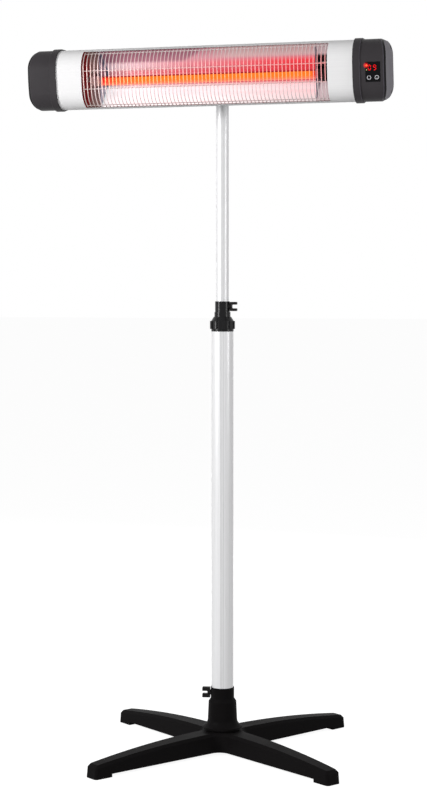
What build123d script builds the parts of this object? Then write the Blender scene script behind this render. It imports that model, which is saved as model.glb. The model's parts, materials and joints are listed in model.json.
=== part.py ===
from build123d import *
from math import asin, cos, pi, sin, sqrt
import os

# Infrared patio heater: a long lamp head on a telescopic floor stand with a four-leg cross base.
# Millimetres. Origin on the floor under the mast, +Z up, the lamp faces -Y, right is +X.

# Fits and gaps
running_gap = 0.05
thread_gap = 0.1
seat_gap = 0.2
loose_gap = 0.3

# Cross base
base_turn = 10.1
leg_reach = 370.0
leg_start = 53.0
leg_root_half = 26.0
leg_tip_half = 18.85
leg_underside = 8.0
leg_root_crown = 50.5
leg_tip_crown = 29.5
leg_bevel = 6.0
leg_tip_draft = 3.0
leg_wall = 3.5
leg_rib = 2.5
leg_rib_count = 4
foot_length = 43.5
pad_margin = 5.0
pad_height = 4.0
pad_show = 1.0
hub_corner_flat = 1.0
hub_wall = 4.0
hub_roof = 6.5
hub_pad_inset = 6.5
tongue_length = 62.0
tongue_lift = 4.0
tongue_height = 12.0
leg_screw_spots = (20.0, 48.0)
leg_screw_radius = 2.0
leg_screw_depth = 12.0
screw_boss_radius = 5.5

# Base sleeve that holds the mast, each height above the one before
sleeve_lift = 4.5
sleeve_floor_thickness = 7.0
flange_height = 4.0
flare_height = 21.0
shoulder_lift = 60.0
shoulder_height = 7.5
collar_height = 24.7
collar_wall = 1.6
shoulder_step = 5.0
sleeve_taper = 1.7
flange_step = 11.0
flare_hollow = 3.0
sleeve_screw_offset = 6.0
sleeve_screw_radius = 2.2
sleeve_screw_depth = 6.0

# Mast tubes
lower_tube_radius = 25.0
lower_tube_wall = 1.5
lower_tube_length = 894.4
upper_tube_radius = 14.5
upper_tube_wall = 1.5
upper_tube_length = 895.0
upper_tube_inside = 335.0
channel_width = 6.0
channel_depth = 0.6
channel_angle = 281.0
plug_height = 12.0
plug_rim = 1.5
guide_height = 40.0
guide_floor = 8.0

# Height clamp
clamp_spigot = 30.0
clamp_ring_step = 0.6
clamp_ring_height = 5.5
clamp_thread_inset = 1.5
clamp_thread_height = 23.5
clamp_step_height = 15.0
clamp_step_wall = 1.5
clamp_neck_height = 24.5
clamp_neck_wall = 2.4
bush_inset = 2.0
bush_slit = 3.0
bush_ledge = 4.0
bush_ledge_gap = 2.0
nut_wall = 4.1
nut_rib_depth = 2.95
nut_rib_bevel = 1.0
nut_rib_width = 5.5
nut_rib_count = 10
nut_cone_below = 5.3
nut_cone_height = 9.5
nut_lip = 1.25

# Wing screws
wing_stud_radius = 2.5
wing_insert_radius = 4.0
wing_boss_radius = 6.0
wing_boss_proud = 0.9
wing_boss_gap = 0.5
wing_thickness = 9.0
wing_corner = 1.5
upper_wing_lift = 12.8
upper_wing_web = 4.2
upper_wing_prong = 11.6
upper_wing_span = 21.0
upper_wing_fork = 8.3
lower_wing_drop = 12.9
lower_wing_web = 6.1
lower_wing_prong = 11.9
lower_wing_span = 23.5
lower_wing_fork = 5.9

# Mast head and tilt hinge
pivot_reach = 21.1
pivot_rise = 21.5
head_tilt = 8.2
socket_wall = 3.5
socket_grip = 36.0
socket_screw_lift = 15.0
socket_screw_radius = 2.5
knuckle_radius = 14.0
knuckle_width = 22.0
washer_thickness = 1.4
washer_inset = 2.0
tilt_bolt_radius = 4.0
tilt_bolt_head_radius = 7.5
tilt_bolt_head = 5.0
knob_radius = 18.0
knob_lobe_radius = 4.5
knob_lobes = 6
knob_length = 16.0
bracket_plate = 3.0
bracket_width = 78.0
bracket_margin = 4.0
bracket_corner = 6.0
bracket_screw_inset = 9.5
bracket_screw_radius = 2.0
bracket_screw_length = 8.0

# Head section, in the head's own frame with its origin at the tilt pivot
standoff = 35.0
head_depth = 100.0
head_half = 67.0
crown_radius = 263.0
corner_radius = 44.0
rear_radius = 28.0
back_taper = 6.0
housing_wall = 1.6

# Head lengths, outwards from the middle
reflector_half_length = 247.0
lamp_overhang = 11.0
element_inset = 22.0
chamber_length = 33.0
window_edge = 4.5
band_width = 59.7
housing_inset = 14.0
cap_length = 63.8
cover_dome = 3.8

# End caps and covers
lip_width = 16.0
control_lip_shift = 4.3
lip_grow = 3.3
lip_bevel = 1.0
cap_grow = 0.4
cap_round = 3.0
cap_wall = 2.5
cap_end_wall = 2.5
cap_recess = 4.0
cover_gap = 0.5
cover_wall = 2.5
end_flat_half = 31.0
end_round_radius = 64.0
gasket_thickness = 1.5
gasket_width = 3.0
cap_screw_inset = 10.0
small_screw_radius = 1.9
small_screw_length = 11.0
cover_screw_inset = 11.0
cover_screw_seat = 7.0

# Guard grille
wire_pitch = 8.6
wire_thickness = 1.8
wire_tuck = 1.7
cross_wire_radius = 1.1
cross_wire_inner = 20.0
cross_wire_inset = 5.5
rail_angle = 80.0

# Reflector and lamp
trough_front = 36.0
trough_edge_gap = 7.0
trough_fold_behind = 15.0
trough_fold_half = 36.0
trough_back_gap = 13.0
trough_back_half = 14.0
reflector_sheet = 0.8
lamp_depth = 50.0
lamp_drop = 4.0
lamp_radius = 10.0
lamp_glass = 1.3
element_radius = 3.6
lamp_hole_gap = 1.0
ceramic_length = 20.0
ceramic_overlap = 8.0
ceramic_wall = 1.5
ceramic_corner = 3.0
holder_plate = 1.5
holder_side = 5.5
lead_radius = 1.5
lead_bend = 7.0
lead_back_gap = 6.5

# Control panel in the right end cap
panel_inset = 23.5
panel_drop = 2.0
panel_width = 32.4
panel_height = 43.0
panel_proud = 0.2
key_offset = 8.4
key_drop = 12.2
key_radius = 5.4
key_proud = 0.5
key_flange_step = 1.2
key_flange = 1.2
key_length = 6.4
board_depth = 10.5
board_thickness = 1.6
board_side_gap = 1.2
board_overhang = 8.5
board_post_radius = 2.6
board_post_inset = 3.2
switch_size = 6.0
switch_gap = 1.2
display_width = 19.0
display_height = 15.0
display_lift = 8.6
display_shift = 1.5
display_gap = 2.0
led_offset = 13.4
led_radius = 1.5
led_lifts = (14.0, 3.3)
relay_size = (15.0, 15.5, 19.0)
terminal_size = (22.0, 14.0, 30.0)
gland_inset = 15.0
gland_bore = 4.0
gland_stem_wall = 3.8
gland_hex_step = 3.2
gland_hex = 9.0
gland_nose = 8.0
gland_nose_wall = 4.5
gland_rim = 1.0
gland_stem = 9.0

# Derived places of the base
leg_angles = {
    "rear_right": base_turn + 45,
    "rear_left": base_turn + 135,
    "front_left": base_turn + 225,
    "front_right": base_turn + 315,
}
leg_tip_fillet = leg_bevel + 1.0
tongue_bottom = leg_underside + tongue_lift
tongue_top = tongue_bottom + tongue_height
hub_roof_bottom = leg_root_crown - hub_roof
sleeve_bottom = leg_root_crown + sleeve_lift
sleeve_floor = sleeve_bottom + sleeve_floor_thickness
flare_top = sleeve_bottom + flare_height
shoulder_low = sleeve_bottom + shoulder_lift
shoulder_high = shoulder_low + shoulder_height
collar_top = shoulder_high + collar_height
collar_radius = lower_tube_radius + running_gap + collar_wall
sleeve_high_radius = collar_radius + shoulder_step
sleeve_low_radius = sleeve_high_radius + sleeve_taper
flange_radius = sleeve_low_radius + flange_step
sleeve_screw_ring = lower_tube_radius + sleeve_screw_offset
lower_wing_height = collar_top - lower_wing_drop
lower_wing_boss = collar_radius + wing_boss_proud
lower_wing_root = lower_wing_boss + wing_boss_gap
lower_wing_slot = lower_wing_root + lower_wing_web

# Derived places of the mast
plug_bottom = sleeve_floor + seat_gap
lower_tube_bottom = plug_bottom + plug_rim
lower_tube_top = lower_tube_bottom + lower_tube_length
lower_tube_bore = lower_tube_radius - lower_tube_wall
clamp_bore = upper_tube_radius + running_gap
clamp_thread_radius = lower_tube_bore - clamp_thread_inset
clamp_neck_radius = clamp_bore + clamp_neck_wall
clamp_step_radius = clamp_neck_radius + clamp_step_wall
clamp_thread_bottom = lower_tube_top + clamp_ring_height
clamp_thread_top = clamp_thread_bottom + clamp_thread_height
clamp_step_top = clamp_thread_top + clamp_step_height
clamp_neck_top = clamp_step_top + clamp_neck_height
bush_radius = clamp_thread_radius - bush_inset
bush_bottom = lower_tube_top - clamp_spigot + bush_ledge
upper_wing_height = clamp_step_top + upper_wing_lift
upper_wing_boss = clamp_neck_radius + wing_boss_proud
upper_wing_root = upper_wing_boss + wing_boss_gap
upper_wing_slot = upper_wing_root + upper_wing_web
upper_tube_bottom = lower_tube_top - upper_tube_inside
upper_tube_top = upper_tube_bottom + upper_tube_length
socket_radius = upper_tube_radius + socket_wall
socket_bottom = upper_tube_top - socket_grip
socket_screw_height = socket_bottom + socket_screw_lift
pivot_y = -socket_radius - pivot_reach
pivot_z = upper_tube_top + pivot_rise
ear_face = knuckle_width / 2 + washer_thickness + bracket_plate

# Derived places of the head
front_y = -standoff - head_depth
crown_y = front_y + crown_radius
corner_z = head_half - corner_radius
crown_lean = asin(corner_z / (crown_radius - corner_radius))
corner_y = crown_y - (crown_radius - corner_radius) * cos(crown_lean)
taper = back_taper * pi / 180
rear_y = -standoff - rear_radius
rear_drop = sin(taper) * (rear_y - corner_y)
back_flat_half = corner_z + (corner_radius - rear_radius - rear_drop) / cos(taper)
window_half_height = head_half - window_edge
window_half_length = reflector_half_length + chamber_length
lip_start = window_half_length + band_width
housing_end = lip_start + housing_inset
cap_end = lip_start + cap_length
cover_end = cap_end + cover_dome
lip_middle = lip_start + lip_width / 2
cap_screw_z = back_flat_half - cap_screw_inset
cover_seat = cover_end - cover_screw_seat
cover_screw_y = rear_y + (rear_radius - cover_screw_inset) * cos(pi / 4)
cover_screw_z = back_flat_half + (rear_radius - cover_screw_inset) * sin(pi / 4)
bracket_height = 2 * (back_flat_half - bracket_margin)
wire_count = round(2 * window_half_length / wire_pitch)
lamp_y = front_y + lamp_depth
lamp_half_length = reflector_half_length + lamp_overhang
ceramic_start = lamp_half_length - ceramic_overlap
ceramic_end = ceramic_start + ceramic_length
ceramic_half = lamp_radius + ceramic_wall
holder_half = ceramic_half + holder_side
inner_back = -standoff - housing_wall
lead_turn = ceramic_end + 2 * lead_bend
terminal_x = lead_turn + 3 * lead_bend + terminal_size[0] / 2
terminal_y = inner_back - terminal_size[1] / 2
panel_x = lip_start + panel_inset + panel_width / 2
panel_z = -panel_drop
key_z = panel_z - key_drop
display_x = panel_x - display_shift
key_places = {"power_button": panel_x - key_offset, "mode_button": panel_x + key_offset}
board_y = front_y + board_depth
board_half_width = panel_width / 2 - board_side_gap
board_half_height = panel_height / 2 + board_overhang
board_post_x = board_half_width - board_post_inset
board_post_z = board_half_height - board_post_inset
gland_z = gland_inset - back_flat_half
head_place = Pos(0, pivot_y, pivot_z) * Rot(head_tilt, 0, 0)


# General shapes

def ring(outer, inner, low, high):
    """Upright ring between two heights."""
    return Pos(0, 0, low) * extrude(Circle(outer) - Circle(inner), amount=high - low)


def rod(radius, low, high):
    """Upright round bar between two heights."""
    return Pos(0, 0, low) * extrude(Circle(radius), amount=high - low)


def rod_x(radius, start, end, y=0.0, z=0.0):
    """Round bar along X."""
    return Pos(start, y, z) * Rot(0, 90, 0) * extrude(Circle(radius), amount=end - start)


def rod_y(radius, start, end, x=0.0, z=0.0):
    """Round bar along Y, towards the back."""
    return Pos(x, start, z) * Rot(-90, 0, 0) * extrude(Circle(radius), amount=end - start)


def block(x_range, y_range, z_range):
    """Box between two corners."""
    centre = Pos(sum(x_range) / 2, sum(y_range) / 2, sum(z_range) / 2)
    return centre * Box(x_range[1] - x_range[0], y_range[1] - y_range[0], z_range[1] - z_range[0])


def turned(points):
    """Solid of revolution about Z from points given as radius and height."""
    return revolve(Plane.XZ * make_face(Polyline(*points, close=True)), axis=Axis.Z)


def pan_screw(radius, length):
    """Pan-head screw that points down -Z, with the underside of its head at the origin."""
    head_radius = 2.1 * radius
    head_height = 1.5 * radius
    head = rod(head_radius, 0, head_height)
    head = fillet(head.faces().sort_by(Axis.Z)[-1].edges(), radius=0.45 * head_height)
    slot_half = 0.2 * radius
    slot = block((-head_radius, head_radius), (-slot_half, slot_half), (0.6 * head_height, head_height))
    cross = Rot(0, 0, 90) * slot
    return rod(radius, -length, 0) + head - slot - cross


def write(name, *solids):
    """Write one node, a single solid or a group of like solids."""
    shape = solids[0] if len(solids) == 1 else Compound(children=list(solids))
    shape.label = name
    export_step(shape, f"parts/{name}.step")


# Cross base

def leg_crown(x, lower=0.0):
    """Height of the leg's crown at a distance from the mast."""
    along = (x - leg_start) / (leg_reach - leg_start)
    return leg_root_crown - (leg_root_crown - leg_tip_crown) * along ** 2 - lower


def leg_half(x):
    """Half width of the leg at a distance from the mast."""
    return leg_root_half + (leg_tip_half - leg_root_half) * (x - leg_start) / (leg_reach - leg_start)


def leg_blank(start, end, bottom, inset, draft=0.0):
    """Tapered bar with an arched crown, inset all round from the leg's outer faces."""
    top_end = end - draft
    middle = (start + top_end) / 2
    crown = ThreePointArc(
        (start, leg_crown(start, inset)),
        (middle, leg_crown(middle, inset)),
        (top_end, leg_crown(top_end, inset)),
    )
    sides = Polyline(
        (top_end, leg_crown(top_end, inset)),
        (end, bottom),
        (start, bottom),
        (start, leg_crown(start, inset)),
    )
    side = extrude(Plane.XZ * make_face([crown, sides]), amount=leg_root_half, both=True)
    plan = make_face(Polyline(
        (start, inset - leg_half(start)),
        (end, inset - leg_half(end)),
        (end, leg_half(end) - inset),
        (start, leg_half(start) - inset),
        close=True,
    ))
    return side & extrude(plan, amount=leg_root_crown)


def bevelled(blank, bevel, root_x):
    """Bevel the crown's edges, apart from the root edge that meets the hub."""
    crown = blank.faces().sort_by(Axis.Z)[-1]
    rim = [edge for edge in crown.edges() if edge.center().X > root_x]
    return chamfer(rim, length=bevel)


def leg_screw_places():
    """Distances of the leg's screws from the mast."""
    return [leg_start + spot for spot in leg_screw_spots]


def leg():
    """One leg as a ribbed shell with a solid foot, lying along +X."""
    foot_start = leg_reach - foot_length
    outer = leg_blank(leg_start + seat_gap, leg_reach, pad_show, 0.0, leg_tip_draft)
    end_face = outer.faces().sort_by(Axis.X)[-1]
    tip_edges = [edge for edge in end_face.edges() if abs(edge.center().Y) > leg_tip_half / 2]
    outer = bevelled(fillet(tip_edges, radius=leg_tip_fillet), leg_bevel, leg_start + foot_length)
    outer -= block((leg_start, foot_start), (-leg_root_half, leg_root_half), (0, leg_underside))

    cavity_end = foot_start - leg_wall
    cavity = bevelled(
        leg_blank(leg_start - leg_wall, cavity_end, leg_underside - pad_show, leg_wall),
        leg_bevel - leg_wall / 2,
        leg_start,
    )
    rib_start = leg_start + tongue_length + leg_wall
    rib_bottom = leg_underside + leg_wall
    ribs = block((rib_start, cavity_end), (-leg_rib / 2, leg_rib / 2), (rib_bottom, leg_root_crown))
    rib_step = (cavity_end - rib_start) / leg_rib_count
    for number in range(leg_rib_count):
        x = rib_start + number * rib_step
        ribs += block((x, x + leg_rib), (-leg_root_half, leg_root_half), (rib_bottom, leg_root_crown))
    for x in leg_screw_places():
        ribs += Pos(x, 0, 0) * rod(screw_boss_radius, tongue_top, leg_root_crown)

    shell = outer - cavity + (ribs & cavity)
    for x in leg_screw_places():
        shell -= Pos(x, 0, 0) * rod(leg_screw_radius + running_gap, tongue_top, tongue_top + leg_screw_depth)
    return shell - pad(running_gap)


def pad(grow=0.0):
    """Rubber pad under a leg's foot, or the pocket that it sits in."""
    inset = 2 * (pad_margin - grow)
    outline = RectangleRounded(foot_length - inset, 2 * leg_tip_half - inset, pad_margin)
    return Pos(leg_reach - foot_length / 2, 0, 0) * extrude(outline, amount=pad_height + grow)


def leg_screws():
    """Screws that hold each leg on its tongue, driven from below."""
    screw = Pos(0, 0, tongue_bottom) * Rot(180, 0, 0) * pan_screw(
        leg_screw_radius, tongue_height + leg_screw_depth - seat_gap
    )
    return [Rot(0, 0, angle) * Pos(x, 0, 0) * screw
            for angle in leg_angles.values() for x in leg_screw_places()]


def hub_outline(inset):
    """Cross with concave corners, inset from the hub's outer faces."""
    reach = leg_start
    cross = Rectangle(2 * reach, 2 * leg_root_half) + Rectangle(2 * leg_root_half, 2 * reach)
    corners = [vertex for vertex in cross.vertices() if abs(vertex.X) < reach and abs(vertex.Y) < reach]
    inner = [corner for corner in corners if abs(abs(corner.X) - abs(corner.Y)) < hub_corner_flat]
    outline = fillet(inner, radius=leg_start - leg_root_half - hub_corner_flat)
    return outline if inset == 0 else offset(outline, amount=-inset, kind=Kind.INTERSECTION)


def base_hub():
    """Hollow hub with a raised pad on top and a tongue into each leg."""
    hub = Pos(0, 0, leg_underside) * extrude(hub_outline(0), amount=leg_root_crown - leg_underside)
    top = hub.faces().sort_by(Axis.Z)[-1]
    hub = chamfer([edge for edge in top.edges() if edge.geom_type == GeomType.CIRCLE], length=leg_bevel)
    hub += rod(flange_radius - hub_pad_inset, leg_root_crown - leg_bevel, sleeve_bottom)
    hub -= Pos(0, 0, leg_underside) * extrude(hub_outline(hub_wall), amount=hub_roof_bottom - leg_underside)

    tongue_half = leg_half(leg_start + tongue_length) - leg_wall - loose_gap
    tongue = block(
        (leg_start - hub_wall, leg_start + tongue_length),
        (-tongue_half, tongue_half),
        (tongue_bottom, tongue_top),
    )
    for x in leg_screw_places():
        tongue -= Pos(x, 0, 0) * rod(leg_screw_radius + seat_gap, 0, leg_root_crown)
    for number in range(4):
        hub += Rot(0, 0, 90 * number) * tongue
    for place in sleeve_screw_places():
        hub -= place * rod(sleeve_screw_radius + seat_gap, hub_roof_bottom - hub_wall, sleeve_bottom)
    return Rot(0, 0, base_turn + 45) * hub


def sleeve_screw_places():
    """Four places round the sleeve's flange, in line with the legs before the base is turned."""
    return [Rot(0, 0, 90 * number) * Pos(sleeve_screw_ring, 0, 0) for number in range(4)]


def base_sleeve():
    """Flared sleeve that the mast stands in, with a bossed hole for the lower wing screw."""
    flare = ThreePointArc(
        (flange_radius, sleeve_bottom + flange_height),
        (sleeve_low_radius + flare_hollow, (sleeve_bottom + flare_top) / 2),
        (sleeve_low_radius, flare_top),
    )
    wall = Polyline(
        (sleeve_low_radius, flare_top),
        (sleeve_high_radius, shoulder_low),
        (collar_radius, shoulder_high),
        (collar_radius, collar_top),
        (0, collar_top),
        (0, sleeve_bottom),
        (flange_radius, sleeve_bottom),
        (flange_radius, sleeve_bottom + flange_height),
    )
    sleeve = revolve(Plane.XZ * make_face([flare, wall]), axis=Axis.Z)
    sleeve += Rot(0, 0, base_turn + 180) * rod_x(wing_boss_radius, 0, lower_wing_boss, z=lower_wing_height)
    sleeve -= rod(lower_tube_radius + running_gap, sleeve_floor, collar_top + lower_wing_span)
    sleeve -= Rot(0, 0, base_turn + 180) * rod_x(wing_insert_radius, 0, lower_wing_slot, z=lower_wing_height)
    pilot_top = sleeve_bottom + sleeve_screw_depth + seat_gap
    pilot = rod(sleeve_screw_radius + running_gap, sleeve_bottom, pilot_top)
    for place in sleeve_screw_places():
        sleeve -= Rot(0, 0, base_turn + 45) * place * pilot
    return sleeve


def sleeve_screws():
    """Screws up through the hub's roof into the sleeve."""
    length = sleeve_bottom + sleeve_screw_depth - hub_roof_bottom
    screw = Pos(0, 0, hub_roof_bottom) * Rot(180, 0, 0) * pan_screw(sleeve_screw_radius, length)
    return [Rot(0, 0, base_turn + 45) * place * screw for place in sleeve_screw_places()]


# Wing screws, made along +X at height zero

def wing_grip(root, slot, prong, span, fork):
    """Forked plastic grip moulded on a stud."""
    tip = slot + prong
    plate = make_face(Polyline(
        (root, -span / 2), (tip, -span / 2), (tip, -fork / 2), (slot, -fork / 2),
        (slot, fork / 2), (tip, fork / 2), (tip, span / 2), (root, span / 2),
        close=True,
    ))
    plate = fillet(plate.vertices(), radius=wing_corner)
    grip = extrude(Plane.XZ * plate, amount=wing_thickness / 2, both=True)
    grip += rod_x(wing_boss_radius, root, slot - wing_corner)
    return grip - rod_x(wing_stud_radius, 0, slot - 2 * wing_corner)


def wing_stud(tube_radius, slot):
    """Threaded stud from just off the tube into the grip."""
    return rod_x(wing_stud_radius, tube_radius + seat_gap, slot - 2 * wing_corner)


def wing_insert(bore_radius, boss_end):
    """Brass threaded insert in the wall that the stud passes through."""
    insert = rod_x(wing_insert_radius, bore_radius + seat_gap, boss_end)
    return insert - rod_x(wing_stud_radius + running_gap, 0, boss_end)


# Mast

def channel(radius, bottom, top):
    """Shallow channel along the outside of an extruded tube."""
    half = channel_width / 2
    cut = block((radius - channel_depth, radius + channel_depth), (-half, half), (bottom, top))
    return Rot(0, 0, channel_angle) * cut


def lower_tube():
    tube = ring(lower_tube_radius, lower_tube_bore, lower_tube_bottom, lower_tube_top)
    return tube - channel(lower_tube_radius, lower_tube_bottom, lower_tube_top)


def tube_foot_plug():
    """Plug in the lower end of the lower tube, with a rim that the tube stands on."""
    outer = lower_tube_bore - running_gap
    rim = rod(lower_tube_radius - channel_depth, plug_bottom, lower_tube_bottom)
    return rim + ring(outer, outer - 2 * plug_rim, lower_tube_bottom, plug_bottom + plug_height)


def clamp_body():
    """Clamp moulding in the lower tube's mouth, with the neck that the upper tube leaves by."""
    bottom = lower_tube_top - clamp_spigot
    outline = turned((
        (upper_tube_radius + bush_ledge_gap, bottom),
        (lower_tube_bore - running_gap, bottom),
        (lower_tube_bore - running_gap, lower_tube_top),
        (lower_tube_radius + clamp_ring_step, lower_tube_top),
        (lower_tube_radius + clamp_ring_step, clamp_thread_bottom),
        (clamp_thread_radius, clamp_thread_bottom),
        (clamp_thread_radius, clamp_thread_top),
        (clamp_step_radius, clamp_thread_top),
        (clamp_step_radius, clamp_step_top),
        (clamp_neck_radius, clamp_step_top),
        (clamp_neck_radius, clamp_neck_top),
        (clamp_bore, clamp_neck_top),
        (clamp_bore, clamp_thread_top - seat_gap),
        (bush_radius + running_gap, clamp_thread_top - seat_gap),
        (bush_radius + running_gap, bush_bottom),
        (upper_tube_radius + bush_ledge_gap, bush_bottom),
    ))
    boss = rod_x(wing_boss_radius, 0, upper_wing_boss, z=upper_wing_height)
    boss -= rod(clamp_bore, clamp_step_top - clamp_step_height, clamp_neck_top + upper_wing_span)
    return outline + boss - rod_x(wing_insert_radius, 0, upper_wing_slot, z=upper_wing_height)


def clamp_bush():
    """Slit bush that the ring nut squeezes round the upper tube."""
    bush = ring(bush_radius, clamp_bore, bush_bottom, clamp_thread_top - 2 * seat_gap)
    half = bush_slit / 2
    return bush - block((0, 2 * bush_radius), (-half, half), (bush_bottom, clamp_thread_top))


def clamp_nut():
    """Ribbed ring nut with a cone top."""
    bottom = clamp_thread_bottom + seat_gap
    rib_top = clamp_thread_top - nut_cone_below
    top = rib_top + nut_cone_height
    inner = clamp_thread_radius + thread_gap
    core = inner + nut_wall
    collar = clamp_step_radius + loose_gap
    ceiling = clamp_thread_top + loose_gap
    nut = turned((
        (inner, bottom),
        (core, bottom),
        (core, rib_top),
        (collar + nut_lip, top),
        (collar, top),
        (collar, ceiling),
        (inner, ceiling),
    ))
    rib = block(
        (core - nut_rib_bevel, core + nut_rib_depth),
        (-nut_rib_width / 2, nut_rib_width / 2),
        (bottom, rib_top),
    )
    rib = chamfer(rib.edges().filter_by(Axis.Z).sort_by(Axis.X)[-2:], length=nut_rib_bevel)
    for number in range(nut_rib_count):
        nut += Rot(0, 0, 360 / nut_rib_count * number) * rib
    return nut


def upper_tube():
    tube = ring(upper_tube_radius, upper_tube_radius - upper_tube_wall, upper_tube_bottom, upper_tube_top)
    tube -= channel(upper_tube_radius, upper_tube_bottom, upper_tube_top)
    return tube - rod_y(socket_screw_radius + running_gap, 0, 2 * upper_tube_radius, z=socket_screw_height)


def tube_guide():
    """Plastic guide on the lower end of the upper tube, sliding in the lower tube."""
    bottom = upper_tube_bottom - guide_floor
    guide = rod(lower_tube_bore - running_gap, bottom, upper_tube_bottom + guide_height)
    return guide - rod(clamp_bore, upper_tube_bottom, upper_tube_bottom + guide_height)


def mast_head():
    """Socket on the top of the mast with a forward knuckle for the tilt bolt."""
    top = pivot_z + knuckle_radius
    socket = rod(socket_radius, socket_bottom, top)
    half = knuckle_width / 2
    knuckle = rod_x(knuckle_radius, -half, half, y=pivot_y, z=pivot_z)
    web = block((-half, half), (pivot_y, 0), (upper_tube_top + loose_gap, top))
    head = socket + knuckle + web
    head -= rod(clamp_bore, socket_bottom, upper_tube_top)
    head -= rod_x(tilt_bolt_radius + running_gap, -half, half, y=pivot_y, z=pivot_z)
    return head - rod_y(socket_screw_radius + running_gap, 0, 2 * socket_radius, z=socket_screw_height)


def mast_head_screw():
    """Screw through the back of the socket into the upper tube."""
    length = socket_radius - upper_tube_radius + upper_tube_wall
    screw = Rot(-90, 0, 0) * pan_screw(socket_screw_radius, length)
    return Pos(0, socket_radius, socket_screw_height) * screw


# Head section, in the head's own frame

def section(grow):
    """Head section grown by a distance: crowned front, round corners, sides that taper to the back."""
    crown = crown_radius + grow
    corner = corner_radius + grow
    rear = rear_radius + grow
    corner_turn = (crown_lean - pi / 2 + taper) / 2
    rear_turn = (taper + pi / 2) / 2

    def on_corner(turn):
        return corner_y + corner * sin(turn), corner_z + corner * cos(turn)

    def on_rear(turn):
        return rear_y + rear * sin(turn), back_flat_half + rear * cos(turn)

    front_edge = (crown_y - crown * cos(crown_lean), crown * sin(crown_lean))
    half = [front_edge, on_corner(corner_turn), on_corner(taper)]
    half += [on_rear(taper), on_rear(rear_turn), on_rear(pi / 2)]
    edges = [ThreePointArc((front_edge[0], -front_edge[1]), (front_y - grow, 0), front_edge)]
    edges += [Line(half[-1], (half[-1][0], -half[-1][1]))]
    for side in (1, -1):
        flip = [(y, side * z) for y, z in half]
        edges += [ThreePointArc(*flip[:3]), Line(flip[2], flip[3]), ThreePointArc(*flip[3:])]
    return Plane.YZ * make_face(edges)


def bar(face, start, end):
    """Extrude a section along X between two places."""
    return Pos(start, 0, 0) * extrude(face, amount=end - start, dir=(1, 0, 0))


def inboard(end):
    """Block of all that lies inboard of a domed right-hand end."""
    limit = head_half + lip_grow + 2.0
    rise = asin((limit - end_flat_half) / end_round_radius)
    arc_x = end - end_round_radius
    outer = (arc_x + end_round_radius * cos(rise), limit)
    middle = (arc_x + end_round_radius * cos(rise / 2), end_flat_half + end_round_radius * sin(rise / 2))
    inner = (end, end_flat_half)
    edges = [Line((end, -end_flat_half), inner), Line((0, limit), (0, -limit))]
    for side in (1, -1):
        flip = [(x, side * z) for x, z in (inner, middle, outer)]
        edges += [ThreePointArc(*flip), Line(flip[2], (0, side * limit))]
    return extrude(Plane.XZ * make_face(edges), amount=head_depth + 2 * standoff, both=True)


def rounded_end(solid, radius):
    """Round the edge all round a domed right-hand end."""
    edges = [edge for face in solid.faces() if face.normal_at().X > 0.5 for edge in face.edges()]
    rim = [edge for edge in edges if sum(edge.is_same(other) for other in edges) == 1]
    return fillet(rim, radius=radius)


def mirrored(solid):
    """The left-hand copy of a right-hand piece."""
    return mirror(solid, about=Plane.YZ)


def bracket_screw_places():
    x_out = bracket_width / 2 - bracket_screw_inset
    z_out = bracket_height / 2 - bracket_screw_inset
    return [(x, z) for x in (-x_out, x_out) for z in (-z_out, z_out)]


def cap_screw_places():
    """Heights of the screws through the back of each cap's lip."""
    return (-cap_screw_z, cap_screw_z)


def housing():
    """Extruded aluminium tube with the lamp window cut in its front."""
    shell = bar(section(0) - section(-housing_wall), -housing_end, housing_end)
    window_back = front_y + corner_radius
    window = block(
        (-window_half_length, window_half_length),
        (front_y - lip_grow, window_back),
        (-window_half_height, window_half_height),
    )
    shell -= window
    for x, z in bracket_screw_places():
        shell -= rod_y(bracket_screw_radius + running_gap, rear_y, 0, x, z)
    for x in (lip_middle - control_lip_shift, -lip_middle):
        for z in cap_screw_places():
            shell -= rod_y(small_screw_radius + running_gap, rear_y, 0, x, z)
    return shell


def gasket():
    """Rubber ring between the housing's right-hand end and the cap."""
    return bar(section(0) - section(-gasket_width), housing_end, housing_end + gasket_thickness)


def end_cap(shift=0.0):
    """Right-hand end cap: a lip over the housing, a sleeve and an inner end wall."""
    start = lip_start - shift
    ledge = housing_end + gasket_thickness
    inner = section(cap_grow - cap_wall)
    cap = rounded_end(bar(section(cap_grow), start, cover_end) & inboard(cap_end), cap_round)
    lip = bar(section(lip_grow), start, start + lip_width)
    cap += chamfer(lip.faces().sort_by(Axis.X)[-1].edges(), length=lip_bevel)
    wall_outside = inboard(cap_end - cap_recess)
    wall_inside = inboard(cap_end - cap_recess - cap_end_wall)
    cap -= bar(section(running_gap), start, ledge)
    cap -= bar(inner, ledge, cover_end) & wall_inside
    cap -= bar(inner, ledge, cover_end) - wall_outside
    for z in cap_screw_places():
        cap -= rod_y(small_screw_radius + running_gap, rear_y, lip_grow, lip_middle - shift, z)
    for z in (-cover_screw_z, cover_screw_z):
        cap -= rod_x(small_screw_radius + running_gap, ledge, cover_end, cover_screw_y, z)
    return cap


def end_cap_right():
    """Right end cap with the panel opening, board posts and gland hole."""
    cap = end_cap(control_lip_shift)
    cap_front = front_y - cap_grow
    opening = block(
        (panel_x - panel_width / 2 - running_gap, panel_x + panel_width / 2 + running_gap),
        (cap_front - lip_grow, front_y + corner_radius / 4),
        (panel_z - panel_height / 2 - running_gap, panel_z + panel_height / 2 + running_gap),
    )
    cap -= opening
    for x in (panel_x - board_post_x, panel_x + board_post_x):
        for z in (panel_z - board_post_z, panel_z + board_post_z):
            cap += rod_y(board_post_radius, cap_front + cap_wall / 2, board_y, x, z)
    return cap - rod_y(gland_bore + gland_stem_wall + running_gap, rear_y, 0, panel_x, gland_z)


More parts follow.
